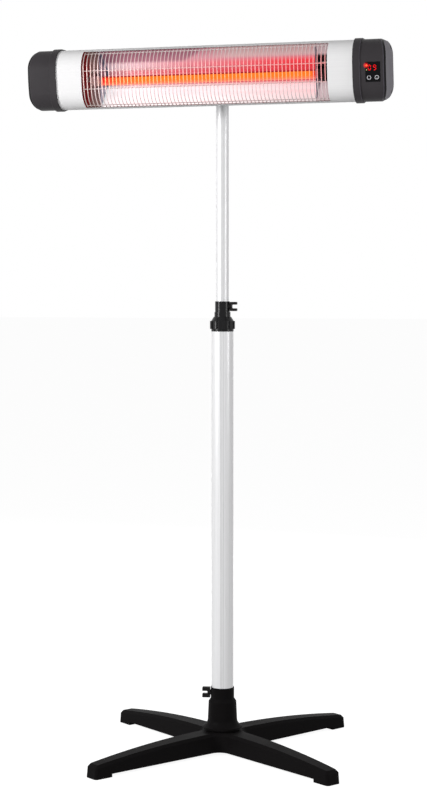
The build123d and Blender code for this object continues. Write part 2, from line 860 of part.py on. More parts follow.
def end_cover():
    """Domed cover in the mouth of the right cap: a shell with sunk screw bosses at its rear corners."""
    rim = cap_grow - cap_wall - cover_gap
    head_room = 2.4 * small_screw_radius
    hollow = bar(section(rim - cover_wall), lip_start, cover_end) & inboard(cover_end - cover_wall)
    for z in (-cover_screw_z, cover_screw_z):
        hollow -= rod_x(head_room + cover_wall, lip_start, cover_end, cover_screw_y, z)
    cover = (bar(section(rim), lip_start, cover_end) & inboard(cover_end)) - inboard(cap_end - cap_recess)
    cover -= hollow
    for z in (-cover_screw_z, cover_screw_z):
        cover -= rod_x(small_screw_radius + running_gap, lip_start, cover_end, cover_screw_y, z)
        cover -= rod_x(head_room, cover_seat, cover_end, cover_screw_y, z)
    return cover


def cover_screws():
    """Screws that hold both end covers."""
    screws = []
    for z in (-cover_screw_z, cover_screw_z):
        screw = Rot(0, 90, 0) * pan_screw(small_screw_radius, small_screw_length)
        screw = Pos(cover_seat, cover_screw_y, z) * screw
        screws += [screw, mirrored(screw)]
    return screws


def cap_screws():
    """Screws through the back of each cap's lip into the housing."""
    screws = []
    for z in cap_screw_places():
        place = Pos(lip_middle, -standoff + lip_grow, z) * Rot(-90, 0, 0)
        screw = place * pan_screw(small_screw_radius, lip_grow + 3 * housing_wall)
        screws += [Pos(-control_lip_shift, 0, 0) * screw, mirrored(screw)]
    return screws


# Tilt hinge, in the head's own frame

def tilt_bracket():
    """Steel bracket screwed to the housing's back, with two ears round the mast's knuckle."""
    inner = knuckle_width / 2 + washer_thickness
    plate = Pos(0, -standoff, 0) * Rot(-90, 0, 0) * extrude(
        RectangleRounded(bracket_width, bracket_height, bracket_corner), amount=bracket_plate
    )
    ears = None
    for side in (-1, 1):
        start = min(side * inner, side * (inner + bracket_plate))
        ear = rod_x(knuckle_radius, start, start + bracket_plate)
        ear += block((start, start + bracket_plate), (-standoff, 0), (-knuckle_radius, knuckle_radius))
        ears = ear if ears is None else ears + ear
    bracket = plate + ears - rod_x(tilt_bolt_radius + running_gap, -bracket_width, bracket_width)
    for x, z in bracket_screw_places():
        bracket -= rod_y(bracket_screw_radius + running_gap, -standoff, 0, x, z)
    return bracket


def bracket_screws():
    """Screws through the bracket's plate into the housing."""
    screw = Rot(-90, 0, 0) * pan_screw(bracket_screw_radius, bracket_screw_length)
    return [Pos(x, -standoff + bracket_plate, z) * screw for x, z in bracket_screw_places()]


def tilt_washers():
    """Friction washers between the knuckle and the ears."""
    half = knuckle_width / 2
    washer = rod_x(knuckle_radius - washer_inset, half, half + washer_thickness)
    washer -= rod_x(tilt_bolt_radius + running_gap, 0, 2 * half)
    return [washer, mirrored(washer)]


def tilt_bolt():
    """Bolt through the ears and knuckle, its head on the left and its thread in the knob."""
    shank = rod_x(tilt_bolt_radius, -ear_face, ear_face + knob_length - bracket_plate)
    head = Pos(-ear_face, 0, 0) * Rot(0, -90, 0) * extrude(
        RegularPolygon(tilt_bolt_head_radius, 6), amount=tilt_bolt_head
    )
    return shank + head


def tilt_knob():
    """Lobed hand knob that locks the tilt."""
    start = ear_face + seat_gap
    knob = rod_x(knob_radius - knob_lobe_radius / 2, start, start + knob_length)
    for number in range(knob_lobes):
        lobe = rod_x(knob_lobe_radius, start, start + knob_length, y=knob_radius - knob_lobe_radius)
        knob += Rot(360 / knob_lobes * number, 0, 0) * lobe
    return knob - rod_x(tilt_bolt_radius + thread_gap, start, start + knob_length - bracket_plate / 2)


# Grille, reflector and lamp, in the head's own frame

def grille_point(depth_in, angle):
    """Y and Z on the section's front corner arc, a distance in from the outside."""
    radius = corner_radius - depth_in
    return corner_y - radius * cos(angle), corner_z + radius * sin(angle)


def cross_wire_y(depth_in, height):
    """Y of a cross wire at a height, on the crown or on the corner arc."""
    if height < crown_radius * sin(crown_lean):
        return crown_y - sqrt((crown_radius - depth_in) ** 2 - height ** 2)
    return grille_point(depth_in, asin((height - corner_z) / (corner_radius - depth_in)))[0]


def guard_grille():
    """Welded guard: upright wires bent round the front, on cross wires and two rails."""
    outside = housing_wall + running_gap
    behind = outside + wire_thickness
    band = section(-outside) - section(-behind)
    wire_height = 2 * (window_half_height + wire_tuck)
    band_window = Plane.YZ * Pos(front_y, 0) * Rectangle(2 * corner_radius, wire_height)
    wire = band & band_window
    span = (wire_count - 1) * wire_pitch
    first = -span / 2 - wire_thickness / 2
    wires = [bar(wire, first + number * wire_pitch, first + number * wire_pitch + wire_thickness)
             for number in range(wire_count)]
    centre_in = behind + 0.75 * cross_wire_radius
    half_length = span / 2 + wire_thickness
    rods = []
    for side in (-1, 1):
        for height in (cross_wire_inner, window_half_height - cross_wire_inset):
            y = cross_wire_y(centre_in, height)
            rods.append(rod_x(cross_wire_radius, -half_length, half_length, y, side * height))
        y, z = grille_point(centre_in, rail_angle * pi / 180)
        rods.append(rod_x(cross_wire_radius, -half_length, half_length, y, side * z))
    return rods[0].fuse(*rods[1:], *wires)


def trough(grow):
    """Reflector trough in section, grown by the sheet's thickness."""
    half = [
        (trough_front, head_half - trough_edge_gap),
        (lamp_depth + trough_fold_behind, trough_fold_half),
        (head_depth - trough_back_gap, trough_back_half),
    ]
    points = half + [(depth, -height) for depth, height in reversed(half)]
    outline = make_face(Polyline(*[(front_y + depth, height) for depth, height in points], close=True))
    if grow:
        outline = offset(outline, amount=grow, kind=Kind.INTERSECTION)
    return Plane.YZ * outline


def reflector():
    """Folded mirror sheet behind the lamp, open towards the grille."""
    sheet = bar(trough(reflector_sheet) - trough(0), -reflector_half_length, reflector_half_length)
    mouth = block(
        (-reflector_half_length, reflector_half_length),
        (front_y, front_y + trough_front),
        (-head_half, head_half),
    )
    return sheet - mouth


def reflector_end():
    """Right-hand end plate of the reflector, with a hole for the lamp."""
    plate = bar(trough(reflector_sheet), reflector_half_length, reflector_half_length + reflector_sheet)
    hole = rod_x(lamp_radius + lamp_hole_gap, 0, lip_start, lamp_y, -lamp_drop)
    return plate - hole


def lamp_tube():
    """Quartz tube of the lamp."""
    tube = rod_x(lamp_radius, -lamp_half_length, lamp_half_length, lamp_y, -lamp_drop)
    return tube - rod_x(lamp_radius - lamp_glass, -lamp_half_length, lamp_half_length, lamp_y, -lamp_drop)


def heating_element():
    """Carbon element on its end leads, down the middle of the lamp."""
    half_length = lamp_half_length - element_inset
    element = rod_x(element_radius, -half_length, half_length, lamp_y, -lamp_drop)
    reach = ceramic_end - ceramic_wall
    return element + rod_x(lead_radius, -reach, reach, lamp_y, -lamp_drop)


def ceramic_outline(grow):
    """Rounded square outline of the lamp's ceramic ends."""
    side = 2 * (ceramic_half + grow)
    return Plane.YZ * Pos(lamp_y, -lamp_drop) * RectangleRounded(side, side, ceramic_corner)


def lamp_end():
    """Ceramic cap on the right end of the lamp."""
    cap = bar(ceramic_outline(0), ceramic_start, ceramic_end)
    cap -= rod_x(lamp_radius + running_gap, ceramic_start, lamp_half_length, lamp_y, -lamp_drop)
    return cap - rod_x(lead_radius + running_gap, ceramic_start, ceramic_end, lamp_y, -lamp_drop)


def lamp_holder():
    """Steel plate that carries the lamp's right end, with a foot against the housing's back."""
    back = inner_back - running_gap
    start = lamp_half_length
    height = (-lamp_drop - holder_half, -lamp_drop + holder_half)
    plate = block(
        (start, start + holder_plate),
        (lamp_y - ceramic_half - 2 * ceramic_wall, back),
        height,
    )
    plate -= bar(ceramic_outline(running_gap), 0, lip_start)
    foot = block(
        (start, start + ceramic_length),
        (back - holder_plate, back),
        height,
    )
    return plate + foot


def lead(points):
    """Insulated wire on straight runs joined by arcs."""
    path = FilletPolyline(*points, radius=lead_bend)
    start = path.position_at(0)
    return sweep(Plane(origin=start, z_dir=path.tangent_at(0)) * Circle(lead_radius), path=path)


def lamp_leads():
    """Wires from both lamp ends to the terminal block, the left one behind the reflector."""
    behind = -standoff - lead_back_gap
    left_height = -lamp_drop + holder_half + lead_bend
    end_x = terminal_x - terminal_size[0] / 2
    right = lead((
        (ceramic_end, lamp_y, -lamp_drop),
        (lead_turn, lamp_y, -lamp_drop),
        (lead_turn + 2 * lead_bend, terminal_y, -lamp_drop),
        (end_x, terminal_y, -lamp_drop),
    ))
    left = lead((
        (-ceramic_end, lamp_y, -lamp_drop),
        (-lead_turn, lamp_y, -lamp_drop),
        (-lead_turn, behind, left_height),
        (lead_turn, behind, left_height),
        (lead_turn + 2 * lead_bend, terminal_y, 2 * lead_bend),
        (end_x, terminal_y, 2 * lead_bend),
    ))
    return [right, left]


# Control panel and electrics, in the head's own frame

def control_window():
    """Gloss panel flush in the cap, with holes for the two keys."""
    window = bar(
        section(cap_grow + panel_proud) - section(cap_grow - cap_wall),
        panel_x - panel_width / 2,
        panel_x + panel_width / 2,
    )
    window &= block(
        (panel_x - panel_width, panel_x + panel_width),
        (front_y - lip_grow, front_y + corner_radius / 4),
        (panel_z - panel_height / 2, panel_z + panel_height / 2),
    )
    for x in key_places.values():
        window -= rod_y(key_radius + loose_gap, front_y - lip_grow, front_y + corner_radius, x, key_z)
    return window


def key_face():
    """Y of the panel's outer face at the keys' height."""
    radius = crown_radius + cap_grow + panel_proud
    return crown_y - sqrt(radius ** 2 - key_z ** 2)


def key(x):
    """Round key that stands a little proud of the panel, with a flange behind it."""
    face = key_face() - key_proud
    cap = rod_y(key_radius, face, face + key_length, x, key_z)
    cap = fillet(cap.faces().sort_by(Axis.Y)[0].edges(), radius=key_proud)
    skirt_radius = key_radius + key_flange_step
    inner_radius = crown_radius + cap_grow - cap_wall
    window_back = crown_y - sqrt(inner_radius ** 2 - (skirt_radius - key_z) ** 2)
    flange_y = window_back + loose_gap
    return cap + rod_y(skirt_radius, flange_y, flange_y + key_flange, x, key_z)


def control_board():
    return block(
        (panel_x - board_half_width, panel_x + board_half_width),
        (board_y, board_y + board_thickness),
        (panel_z - board_half_height, panel_z + board_half_height),
    )


def tact_switches():
    """Two small switches behind the keys."""
    top = key_face() - key_proud + key_length + switch_gap
    half = switch_size / 2
    return [block((x - half, x + half), (top, board_y), (key_z - half, key_z + half))
            for x in key_places.values()]


def display_module():
    """Two-digit display on the board, behind the panel."""
    middle = panel_z + display_lift
    return block(
        (display_x - display_width / 2, display_x + display_width / 2),
        (front_y + cap_wall + display_gap, board_y),
        (middle - display_height / 2, middle + display_height / 2),
    )


def indicator_leds():
    """Two indicator lamps on the board, left of the display."""
    start = front_y + cap_wall + display_gap
    return [rod_y(led_radius, start, board_y, panel_x - led_offset, panel_z + lift) for lift in led_lifts]


def control_relay():
    width, depth, height = relay_size
    back = board_y + board_thickness
    return block((panel_x - width / 2, panel_x + width / 2), (back, back + depth), (0, height))


def terminal_block():
    """Terminal block on the housing's back wall."""
    return Pos(terminal_x, terminal_y, 0) * Box(*terminal_size)


def cable_gland():
    """Cord inlet in the back of the right cap: stem, hexagon and nose round one bore."""
    back = -standoff + cap_grow
    nose_end = back + gland_hex + gland_nose
    stem_radius = gland_bore + gland_stem_wall
    stem = rod_y(stem_radius, back - gland_stem, back, panel_x, gland_z)
    outline = RegularPolygon(stem_radius + gland_hex_step, 6)
    hexagon = Pos(panel_x, back, gland_z) * Rot(-90, 0, 0) * extrude(outline, amount=gland_hex)
    nose = rod_y(gland_bore + gland_nose_wall, back + gland_hex, nose_end, panel_x, gland_z)
    nose = fillet(nose.faces().sort_by(Axis.Y)[-1].edges(), radius=gland_nose_wall - gland_rim)
    return stem + hexagon + nose - rod_y(gland_bore, back - gland_stem, nose_end, panel_x, gland_z)


def write_base():
    write("base_hub", base_hub())
    one_leg = leg()
    for name, angle in leg_angles.items():
        write(f"leg_{name}", Rot(0, 0, angle) * one_leg)
    write("foot_pads", *[Rot(0, 0, angle) * pad() for angle in leg_angles.values()])
    write("leg_screws", *leg_screws())
    write("base_sleeve", base_sleeve())
    write("sleeve_screws", *sleeve_screws())
    place = Pos(0, 0, lower_wing_height) * Rot(0, 0, base_turn + 180)
    write("lower_wing_insert", place * wing_insert(lower_tube_radius, lower_wing_boss))
    write("lower_wing_stud", place * wing_stud(lower_tube_radius, lower_wing_slot))
    grip = wing_grip(lower_wing_root, lower_wing_slot, lower_wing_prong, lower_wing_span, lower_wing_fork)
    write("lower_wing_grip", place * grip)


def write_mast():
    write("lower_tube", lower_tube())
    write("tube_foot_plug", tube_foot_plug())
    write("clamp_body", clamp_body())
    write("clamp_bush", clamp_bush())
    write("clamp_nut", clamp_nut())
    place = Pos(0, 0, upper_wing_height)
    write("upper_wing_insert", place * wing_insert(clamp_bore, upper_wing_boss))
    write("upper_wing_stud", place * wing_stud(upper_tube_radius, upper_wing_slot))
    grip = wing_grip(upper_wing_root, upper_wing_slot, upper_wing_prong, upper_wing_span, upper_wing_fork)
    write("upper_wing_grip", place * grip)
    write("upper_tube", upper_tube())
    write("tube_guide", tube_guide())
    write("mast_head", mast_head())
    write("mast_head_screw", mast_head_screw())


def write_head():
    """Every piece of the head, moved from its own frame to its place on the mast."""
    pairs = {
        "reflector_end": reflector_end(),
        "lamp_end": lamp_end(),
        "lamp_holder": lamp_holder(),
        "cap_gasket": gasket(),
        "end_cover": end_cover(),
    }
    pieces = {f"{name}_right": [solid] for name, solid in pairs.items()}
    pieces |= {f"{name}_left": [mirrored(solid)] for name, solid in pairs.items()}
    pieces |= {name: [key(x)] for name, x in key_places.items()}
    pieces |= {
        "housing": [housing()],
        "end_cap_left": [mirrored(end_cap())],
        "end_cap_right": [end_cap_right()],
        "cap_screws": cap_screws(),
        "cover_screws": cover_screws(),
        "tilt_bracket": [tilt_bracket()],
        "bracket_screws": bracket_screws(),
        "tilt_washers": tilt_washers(),
        "tilt_bolt": [tilt_bolt()],
        "tilt_knob": [tilt_knob()],
        "guard_grille": [guard_grille()],
        "reflector": [reflector()],
        "lamp_tube": [lamp_tube()],
        "heating_element": [heating_element()],
        "lamp_leads": lamp_leads(),
        "control_window": [control_window()],
        "control_board": [control_board()],
        "tact_switches": tact_switches(),
        "display_module": [display_module()],
        "indicator_leds": indicator_leds(),
        "control_relay": [control_relay()],
        "terminal_block": [terminal_block()],
        "cable_gland": [cable_gland()],
    }
    for name, solids in pieces.items():
        write(name, *[head_place * solid for solid in solids])


os.makedirs("parts", exist_ok=True)
write_base()
write_mast()
write_head()
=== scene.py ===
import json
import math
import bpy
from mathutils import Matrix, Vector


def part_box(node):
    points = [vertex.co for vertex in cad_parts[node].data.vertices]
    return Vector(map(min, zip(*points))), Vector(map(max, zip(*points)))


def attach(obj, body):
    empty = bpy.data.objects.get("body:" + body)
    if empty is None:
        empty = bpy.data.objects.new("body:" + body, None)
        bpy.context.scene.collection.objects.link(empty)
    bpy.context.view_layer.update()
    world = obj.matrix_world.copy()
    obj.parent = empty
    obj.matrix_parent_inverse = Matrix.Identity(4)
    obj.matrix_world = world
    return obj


bl_info = {
    "name": "Patio Heater",
    "version": (1, 0, 0),
    "blender": (4, 5, 0),
    "location": "View3D > Sidebar > Heater",
    "description": "Dresses the packed patio heater: finishes, lamp, control panel, small fittings and stage",
    "category": "Object",
}

import bmesh
import bpy
from mathutils import Matrix, Vector

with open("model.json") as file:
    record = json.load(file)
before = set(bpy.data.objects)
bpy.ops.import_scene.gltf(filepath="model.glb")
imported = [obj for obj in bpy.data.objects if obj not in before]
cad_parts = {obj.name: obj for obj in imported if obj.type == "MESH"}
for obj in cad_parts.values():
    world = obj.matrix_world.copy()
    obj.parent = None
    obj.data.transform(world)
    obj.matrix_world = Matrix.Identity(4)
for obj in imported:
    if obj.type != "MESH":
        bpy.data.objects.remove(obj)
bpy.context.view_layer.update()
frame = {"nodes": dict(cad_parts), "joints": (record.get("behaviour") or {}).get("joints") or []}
nodes = frame["nodes"]
MM = 0.001


def mm(*lengths):
    """Lengths in millimetres as metres."""
    return tuple(length * MM for length in lengths)


def middle(node):
    """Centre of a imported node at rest."""
    low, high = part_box(node)
    return (Vector(low) + Vector(high)) / 2


def span(node, axis):
    """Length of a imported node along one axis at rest."""
    low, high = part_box(node)
    return high[axis] - low[axis]


tilt_joint = next(joint for joint in frame["joints"] if joint["name"] == "head_tilt")
PIVOT = Vector(tilt_joint["pos_m"])


def colour_prop(name, description, default):
    """A colour that the user can change."""
    return bpy.props.FloatVectorProperty(
        name=name, description=description, default=default, subtype="COLOR", size=3, min=0, max=1,
    )


def length_prop(name, description, default, least, most):
    """A length that the user can change."""
    return bpy.props.FloatProperty(
        name=name, description=description, default=default, unit="LENGTH", min=least, max=most,
    )


def turn_prop(name, description, degrees, most):
    """An angle that the user can change, with its default in degrees and its limit in radians."""
    return bpy.props.FloatProperty(
        name=name, description=description, default=math.radians(degrees), unit="ROTATION", min=0, max=most,
    )


class HeaterColours(bpy.types.PropertyGroup):
    """Colours of the heater's finishes."""
    black: colour_prop("Black plastic", "Base and wing screws", (0.0062, 0.0056, 0.0058))
    clamp: colour_prop("Clamp black", "Clamp, ring nut and mast head", (0.0035, 0.0033, 0.004))
    charcoal: colour_prop("End caps", "Both end caps", (0.040, 0.0365, 0.0395))
    cover: colour_prop("End covers", "Domed covers in the ends of the caps", (0.085, 0.077, 0.094))
    panel: colour_prop("Control panel", "Gloss panel and the keys in it", (0.003, 0.003, 0.0035))
    silver: colour_prop("Housing silver", "Extruded housing", (0.80, 0.795, 0.80))
    tube: colour_prop("Tube silver", "Both mast tubes", (0.80, 0.80, 0.81))
    wire: colour_prop("Guard wire", "Plated wires of the guard", (0.62, 0.53, 0.53))
    mirror: colour_prop("Reflector", "Polished sheet behind the lamp", (0.97, 0.93, 0.94))
    # Painted reflections on the sheet: purple at its top left, and the lamp's red beside the lamp
    purple_reflection: colour_prop("Heat tint", "Purple bloom on the upper part of the hot sheet", (0.27, 0.12, 0.16))
    red_reflection: colour_prop("Lamp blush", "Warm colour of the sheet next to the lamp", (0.62, 0.048, 0.062))
    glow: colour_prop("Lamp glow", "Light of the hot lamp", (1.0, 0.20, 0.014))
    digits: colour_prop("Display red", "Lit segments and the power light", (0.80, 0.006, 0.010))
    floor: colour_prop("Floor", "Plain pale floor", (0.32, 0.32, 0.32))


class HeaterSizes(bpy.types.PropertyGroup):
    """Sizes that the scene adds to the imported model."""
    tilt: turn_prop("Head tilt", "Lean of the head towards the floor at rest", 8.2, 1)
    # Turn round the mast of the darker lines down the tubes' fronts
    dark_line_turn: turn_prop("Seam turn", "Turn of the tubes' seams round the mast", 15.5, 6.3)
    panel_reach: length_prop(
        "Panel reach", "Distance from the tilt pivot to the panel's crown", 135.6 * MM, 0.01, 1)
    crown_radius: length_prop("Panel curve", "Radius of the panel's crowned face", 263.6 * MM, 0.05, 1)
    digit_height: length_prop("Digit height", "Height of a display digit", 10.4 * MM, 0.001, 0.1)
    digit_width: length_prop("Digit width", "Width of a display digit", 5.2 * MM, 0.001, 0.1)
    digit_pitch: length_prop("Digit pitch", "Step from one digit to the next", 11.2 * MM, 0.001, 0.1)
    stroke: length_prop("Segment width", "Width of a lit segment", 1.5 * MM, 0.0002, 0.01)
    power_rise: length_prop(
        "Power light height", "Height of the red light above the panel's middle", 14.0 * MM, 0, 0.1)
    ready_rise: length_prop(
        "Ready light height", "Height of the green light above the panel's middle", 4.5 * MM, 0, 0.1)
    lens_radius: length_prop("Lens radius", "Radius of an indicator lens", 1.5 * MM, 0.0002, 0.01)
    halo_radius: length_prop("Halo radius", "Reach of the power light's glow", 7.0 * MM, 0.001, 0.05)
    ring_radius: length_prop("Key ring radius", "Radius of the pale ring on a key", 3.9 * MM, 0.001, 0.02)
    ring_width: length_prop("Key ring width", "Width of the pale ring on a key", 1.3 * MM, 0.0002, 0.01)
    camera_turn: turn_prop("Camera turn", "Turn of the camera towards the control end", 15.5, 1.5)
    camera_distance: length_prop("Camera distance", "Distance of the camera from the mast", 4.096, 1, 20)
    camera_height: length_prop("Camera height", "Height of the camera above the floor", 1.0535, 0, 5)


def colours():
    """The scene's heater colours."""
    return bpy.context.scene.heater_colours


def sizes():
    """The scene's heater sizes."""
    return bpy.context.scene.heater_sizes


# Places in the head's own frame

def head_place():
    """From the head's own frame, in metres with its origin at the tilt pivot, to the scene."""
    return Matrix.Translation(PIVOT) @ Matrix.Rotation(sizes().tilt, 4, "X")


def in_head(point):
    """A scene point in the head's own frame."""
    return head_place().inverted() @ Vector(point)


def panel_depth(height):
    """Y of the panel's crowned face at a height, in the head's own frame."""
    radius = sizes().crown_radius
    return radius - math.sqrt(radius ** 2 - height ** 2) - sizes().panel_reach


def panel_point(x, height):
    """A scene point on the panel's face."""
    return head_place() @ Vector((x, panel_depth(height), height))


def light_point(height):
    """Scene place of an indicator light at a height above the panel's middle."""
    lights = in_head(middle("indicator_leds"))
    window = in_head(middle("control_window"))
    return panel_point(lights.x, window.z + height)


# Shader parts

def new_group(name, inputs, outputs):
    """An empty node group with named inputs and outputs."""
    group = bpy.data.node_groups.new(name, "ShaderNodeTree")
    for label, kind, value in inputs:
        socket = group.interface.new_socket(label, in_out="INPUT", socket_type=kind)
        socket.default_value = value
    for label, kind in outputs:
        group.interface.new_socket(label, in_out="OUTPUT", socket_type=kind)
    return group, group.nodes.new("NodeGroupInput"), group.nodes.new("NodeGroupOutput")


def shared_group(name, build):
    """A node group that is built once."""
    return bpy.data.node_groups.get(name) or build()


def add_node(tree, kind, values=None, **settings):
    """A node with settings on it and constant values on its sockets."""
    node = tree.nodes.new(kind)
    for key, value in settings.items():
        setattr(node, key, value)
    for key, value in (values or {}).items():
        node.inputs[key].default_value = value
    return node


def join(tree, start, end):
    """Link one socket to another."""
    tree.links.new(start, end)


def spread(tree, value, low, high, out_low, out_high):
    """Remap a value from one range to another."""
    node = add_node(tree, "ShaderNodeMapRange", {1: low, 2: high, 3: out_low, 4: out_high})
    join(tree, value, node.inputs[0])
    return node.outputs[0]


def rise(tree, value, start, end):
    """Zero up to a place, one past another."""
    return spread(tree, value, start, end, 0.0, 1.0)


def fall(tree, value, start, end):
    """One up to a place, zero past another."""
    return spread(tree, value, start, end, 1.0, 0.0)


def calculate(tree, operation, first, second):
    """A sum, product or other result of a socket with a socket or a number."""
    node = add_node(tree, "ShaderNodeMath", operation=operation)
    for number, value in enumerate((first, second)):
        if isinstance(value, (int, float)):
            node.inputs[number].default_value = value
        else:
            join(tree, value, node.inputs[number])
    return node.outputs[0]


def both(tree, first, second):
    """One where two masks are one."""
    return calculate(tree, "MULTIPLY", first, second)


def either(tree, first, second):
    """The larger of two masks."""
    return calculate(tree, "MAXIMUM", first, second)


def band(tree, value, low, high, soft):
    """One between two limits, with a soft edge at each."""
    return both(tree, rise(tree, value, low - soft, low + soft), fall(tree, value, high - soft, high + soft))


def blend(tree, share, start, end):
    """Mix two colours, each a socket or a colour, by a share."""
    node = add_node(tree, "ShaderNodeMix", data_type="RGBA")
    join(tree, share, node.inputs[0])
    for number, value in ((6, start), (7, end)):
        if isinstance(value, bpy.types.NodeSocket):
            join(tree, value, node.inputs[number])
        else:
            node.inputs[number].default_value = (*value, 1)
    return node.outputs[2]


def layered(tree, base, *layers):
    """Paint colours over a base in order, each where its mask is one."""
    for mask, colour in layers:
        base = blend(tree, mask, base, colour)
    return base


def scaled(tree, colour, factor):
    """A colour made lighter or darker by a factor."""
    node = add_node(tree, "ShaderNodeVectorMath", operation="SCALE")
    join(tree, colour, node.inputs[0])
    join(tree, factor, node.inputs["Scale"])
    return node.outputs[0]


def split(tree, vector):
    """X, Y and Z of a vector."""
    parts = add_node(tree, "ShaderNodeSeparateXYZ")
    join(tree, vector, parts.inputs[0])
    return parts.outputs


def place_of(tree):
    """Place on the surface."""
    return add_node(tree, "ShaderNodeTexCoord").outputs["Object"]


def normal_of(tree):
    """Direction of the surface."""
    return add_node(tree, "ShaderNodeTexCoord").outputs["Normal"]


def turned_parts(tree, centre, turn):
    """X, Y and Z of the surface in a frame with its own centre and turn."""
    values = {"Location": centre, "Rotation": turn}
    turned = add_node(tree, "ShaderNodeMapping", values, vector_type="TEXTURE")
    join(tree, place_of(tree), turned.inputs["Vector"])
    return split(tree, turned.outputs[0])


def head_parts(tree):
    """X, Y and Z of the surface in the head's own frame."""
    return turned_parts(tree, PIVOT, (sizes().tilt, 0, 0))


def from_left_end(tree, x):
    """Distance along the head from the reflector's left end."""
    return calculate(tree, "SUBTRACT", x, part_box("reflector")[0][0])


def noise(tree, scale, detail=2.0, roughness=0.5):
    """A noise value on the surface."""
    pattern = add_node(tree, "ShaderNodeTexNoise", {"Scale": scale, "Detail": detail, "Roughness": roughness})
    join(tree, place_of(tree), pattern.inputs["Vector"])
    return pattern.outputs[0]


NOISE_RANGE = (0.3, 0.7)
GRAIN_DEPTH = 0.3 * MM
STREAK_DEPTH = 0.2 * MM
FINISH_OUTPUTS = (
    ("Colour", "NodeSocketColor"), ("Roughness", "NodeSocketFloat"), ("Height", "NodeSocketFloat"),
)


def vary_finish(group, given, made, pattern, least, most):
    """Let a pattern change the gloss by up to two amounts, and the shade by the group's Variation."""
    gloss = calculate(group, "ADD", given.outputs["Gloss"], spread(group, pattern, *NOISE_RANGE, least, most))
    join(group, gloss, made.inputs["Roughness"])
    drift = spread(group, pattern, *NOISE_RANGE, -1.0, 1.0)
    swing = calculate(group, "MULTIPLY", drift, given.outputs["Variation"])
    shade = scaled(group, given.outputs["Colour"], calculate(group, "ADD", swing, 1.0))
    join(group, shade, made.inputs["Colour"])


def grain_group():
    """Moulded grain: fine pits, with a slow change in gloss and shade over the surface."""
    group, given, made = new_group(
        "moulded_grain",
        (("Scale", "NodeSocketFloat", 900.0), ("Gloss", "NodeSocketFloat", 0.45),
         ("Colour", "NodeSocketColor", (0.02, 0.02, 0.02, 1)), ("Variation", "NodeSocketFloat", 0.12)),
        FINISH_OUTPUTS,
    )
    pits = add_node(group, "ShaderNodeTexNoise", {"Detail": 3.0, "Roughness": 0.6})
    join(group, place_of(group), pits.inputs["Vector"])
    join(group, given.outputs["Scale"], pits.inputs["Scale"])
    join(group, pits.outputs[0], made.inputs["Height"])
    vary_finish(group, given, made, noise(group, 9.0, detail=5.0, roughness=0.55), -0.06, 0.06)
    return group


def brushed_group():
    """Drawn or brushed metal: streaks along one axis that change the gloss and the height."""
    group, given, made = new_group(
        "brushed_streaks",
        (("Stretch", "NodeSocketVector", (1.0, 1.0, 1.0)), ("Gloss", "NodeSocketFloat", 0.35),
         ("Colour", "NodeSocketColor", (0.7, 0.7, 0.7, 1)), ("Variation", "NodeSocketFloat", 0.05)),
        FINISH_OUTPUTS,
    )
    stretched = add_node(group, "ShaderNodeVectorMath", operation="MULTIPLY")
    join(group, place_of(group), stretched.inputs[0])
    join(group, given.outputs["Stretch"], stretched.inputs[1])
    streaks = add_node(group, "ShaderNodeTexNoise", {"Scale": 1.0, "Detail": 4.0, "Roughness": 0.65})
    join(group, stretched.outputs[0], streaks.inputs["Vector"])
    join(group, streaks.outputs[0], made.inputs["Height"])
    vary_finish(group, given, made, streaks.outputs[0], -0.05, 0.07)
    return group


def halo_group():
    """Red light painted as glow on the surface round the power light, though the surface is no lamp."""
    group, given, made = new_group(
        "power_light_halo",
        (("Centre", "NodeSocketVector", (0, 0, 0)), ("Reach", "NodeSocketFloat", 7 * MM),
         ("Light", "NodeSocketColor", (1, 0, 0, 1))),
        (("Glow", "NodeSocketColor"),),
    )
    away = add_node(group, "ShaderNodeVectorMath", operation="DISTANCE")
    join(group, place_of(group), away.inputs[0])
    join(group, given.outputs["Centre"], away.inputs[1])
    share = calculate(group, "DIVIDE", away.outputs["Value"], given.outputs["Reach"])
    core = 0.25
    limits = {1: core, 2: 1.0, 3: 1.0, 4: 0.0}
    fading = add_node(group, "ShaderNodeMapRange", limits, interpolation_type="SMOOTHSTEP")
    join(group, share, fading.inputs[0])
    join(group, scaled(group, given.outputs["Light"], fading.outputs[0]), made.inputs["Glow"])
    return group


# Finishes

def blank(name, roughness=0.5, metallic=0.0, specular=0.5):
    """A material with a Principled shader and constant gloss values."""
    made = bpy.data.materials.new(name)
    made.use_nodes = True
    shader = made.node_tree.nodes["Principled BSDF"]
    shader.inputs["Roughness"].default_value = roughness
    shader.inputs["Metallic"].default_value = metallic
    shader.inputs["Specular IOR Level"].default_value = specular
    return made, made.node_tree, shader


def bumped(tree, shader, height, strength, distance):
    """Feed a height to the shader's normal."""
    bump = add_node(tree, "ShaderNodeBump", {"Strength": strength, "Distance": distance})
    join(tree, height, bump.inputs["Height"])
    join(tree, bump.outputs[0], shader.inputs["Normal"])


def patterned(name, group, values, gloss, metallic, specular, bump, depth):
    """A finish whose colour, gloss and height come from a shared pattern."""
    made, tree, shader = blank(name, gloss, metallic, specular)
    pattern = add_node(tree, "ShaderNodeGroup", {"Gloss": gloss, **values}, node_tree=group)
    join(tree, pattern.outputs["Colour"], shader.inputs["Base Color"])
    join(tree, pattern.outputs["Roughness"], shader.inputs["Roughness"])
    bumped(tree, shader, pattern.outputs["Height"], bump, depth)
    return made


def moulded(name, colour, gloss=0.45, scale=900.0, specular=0.15, variation=0.12, bump=0.25):
    """Moulded plastic or rubber with a fine grain."""
    values = {"Scale": scale, "Colour": (*colour, 1), "Variation": variation}
    group = shared_group("moulded_grain", grain_group)
    return patterned(name, group, values, gloss, 0.0, specular, bump, GRAIN_DEPTH)


def drawn(name, colour, stretch, gloss=0.35, metallic=1.0, contrast=0.05, specular=0.5, bump=0.08):
    """Drawn, brushed or plated metal with streaks along one axis."""
    values = {"Stretch": stretch, "Colour": (*colour, 1), "Variation": contrast}
    group = shared_group("brushed_streaks", brushed_group)
    return patterned(name, group, values, gloss, metallic, specular, bump, STREAK_DEPTH)


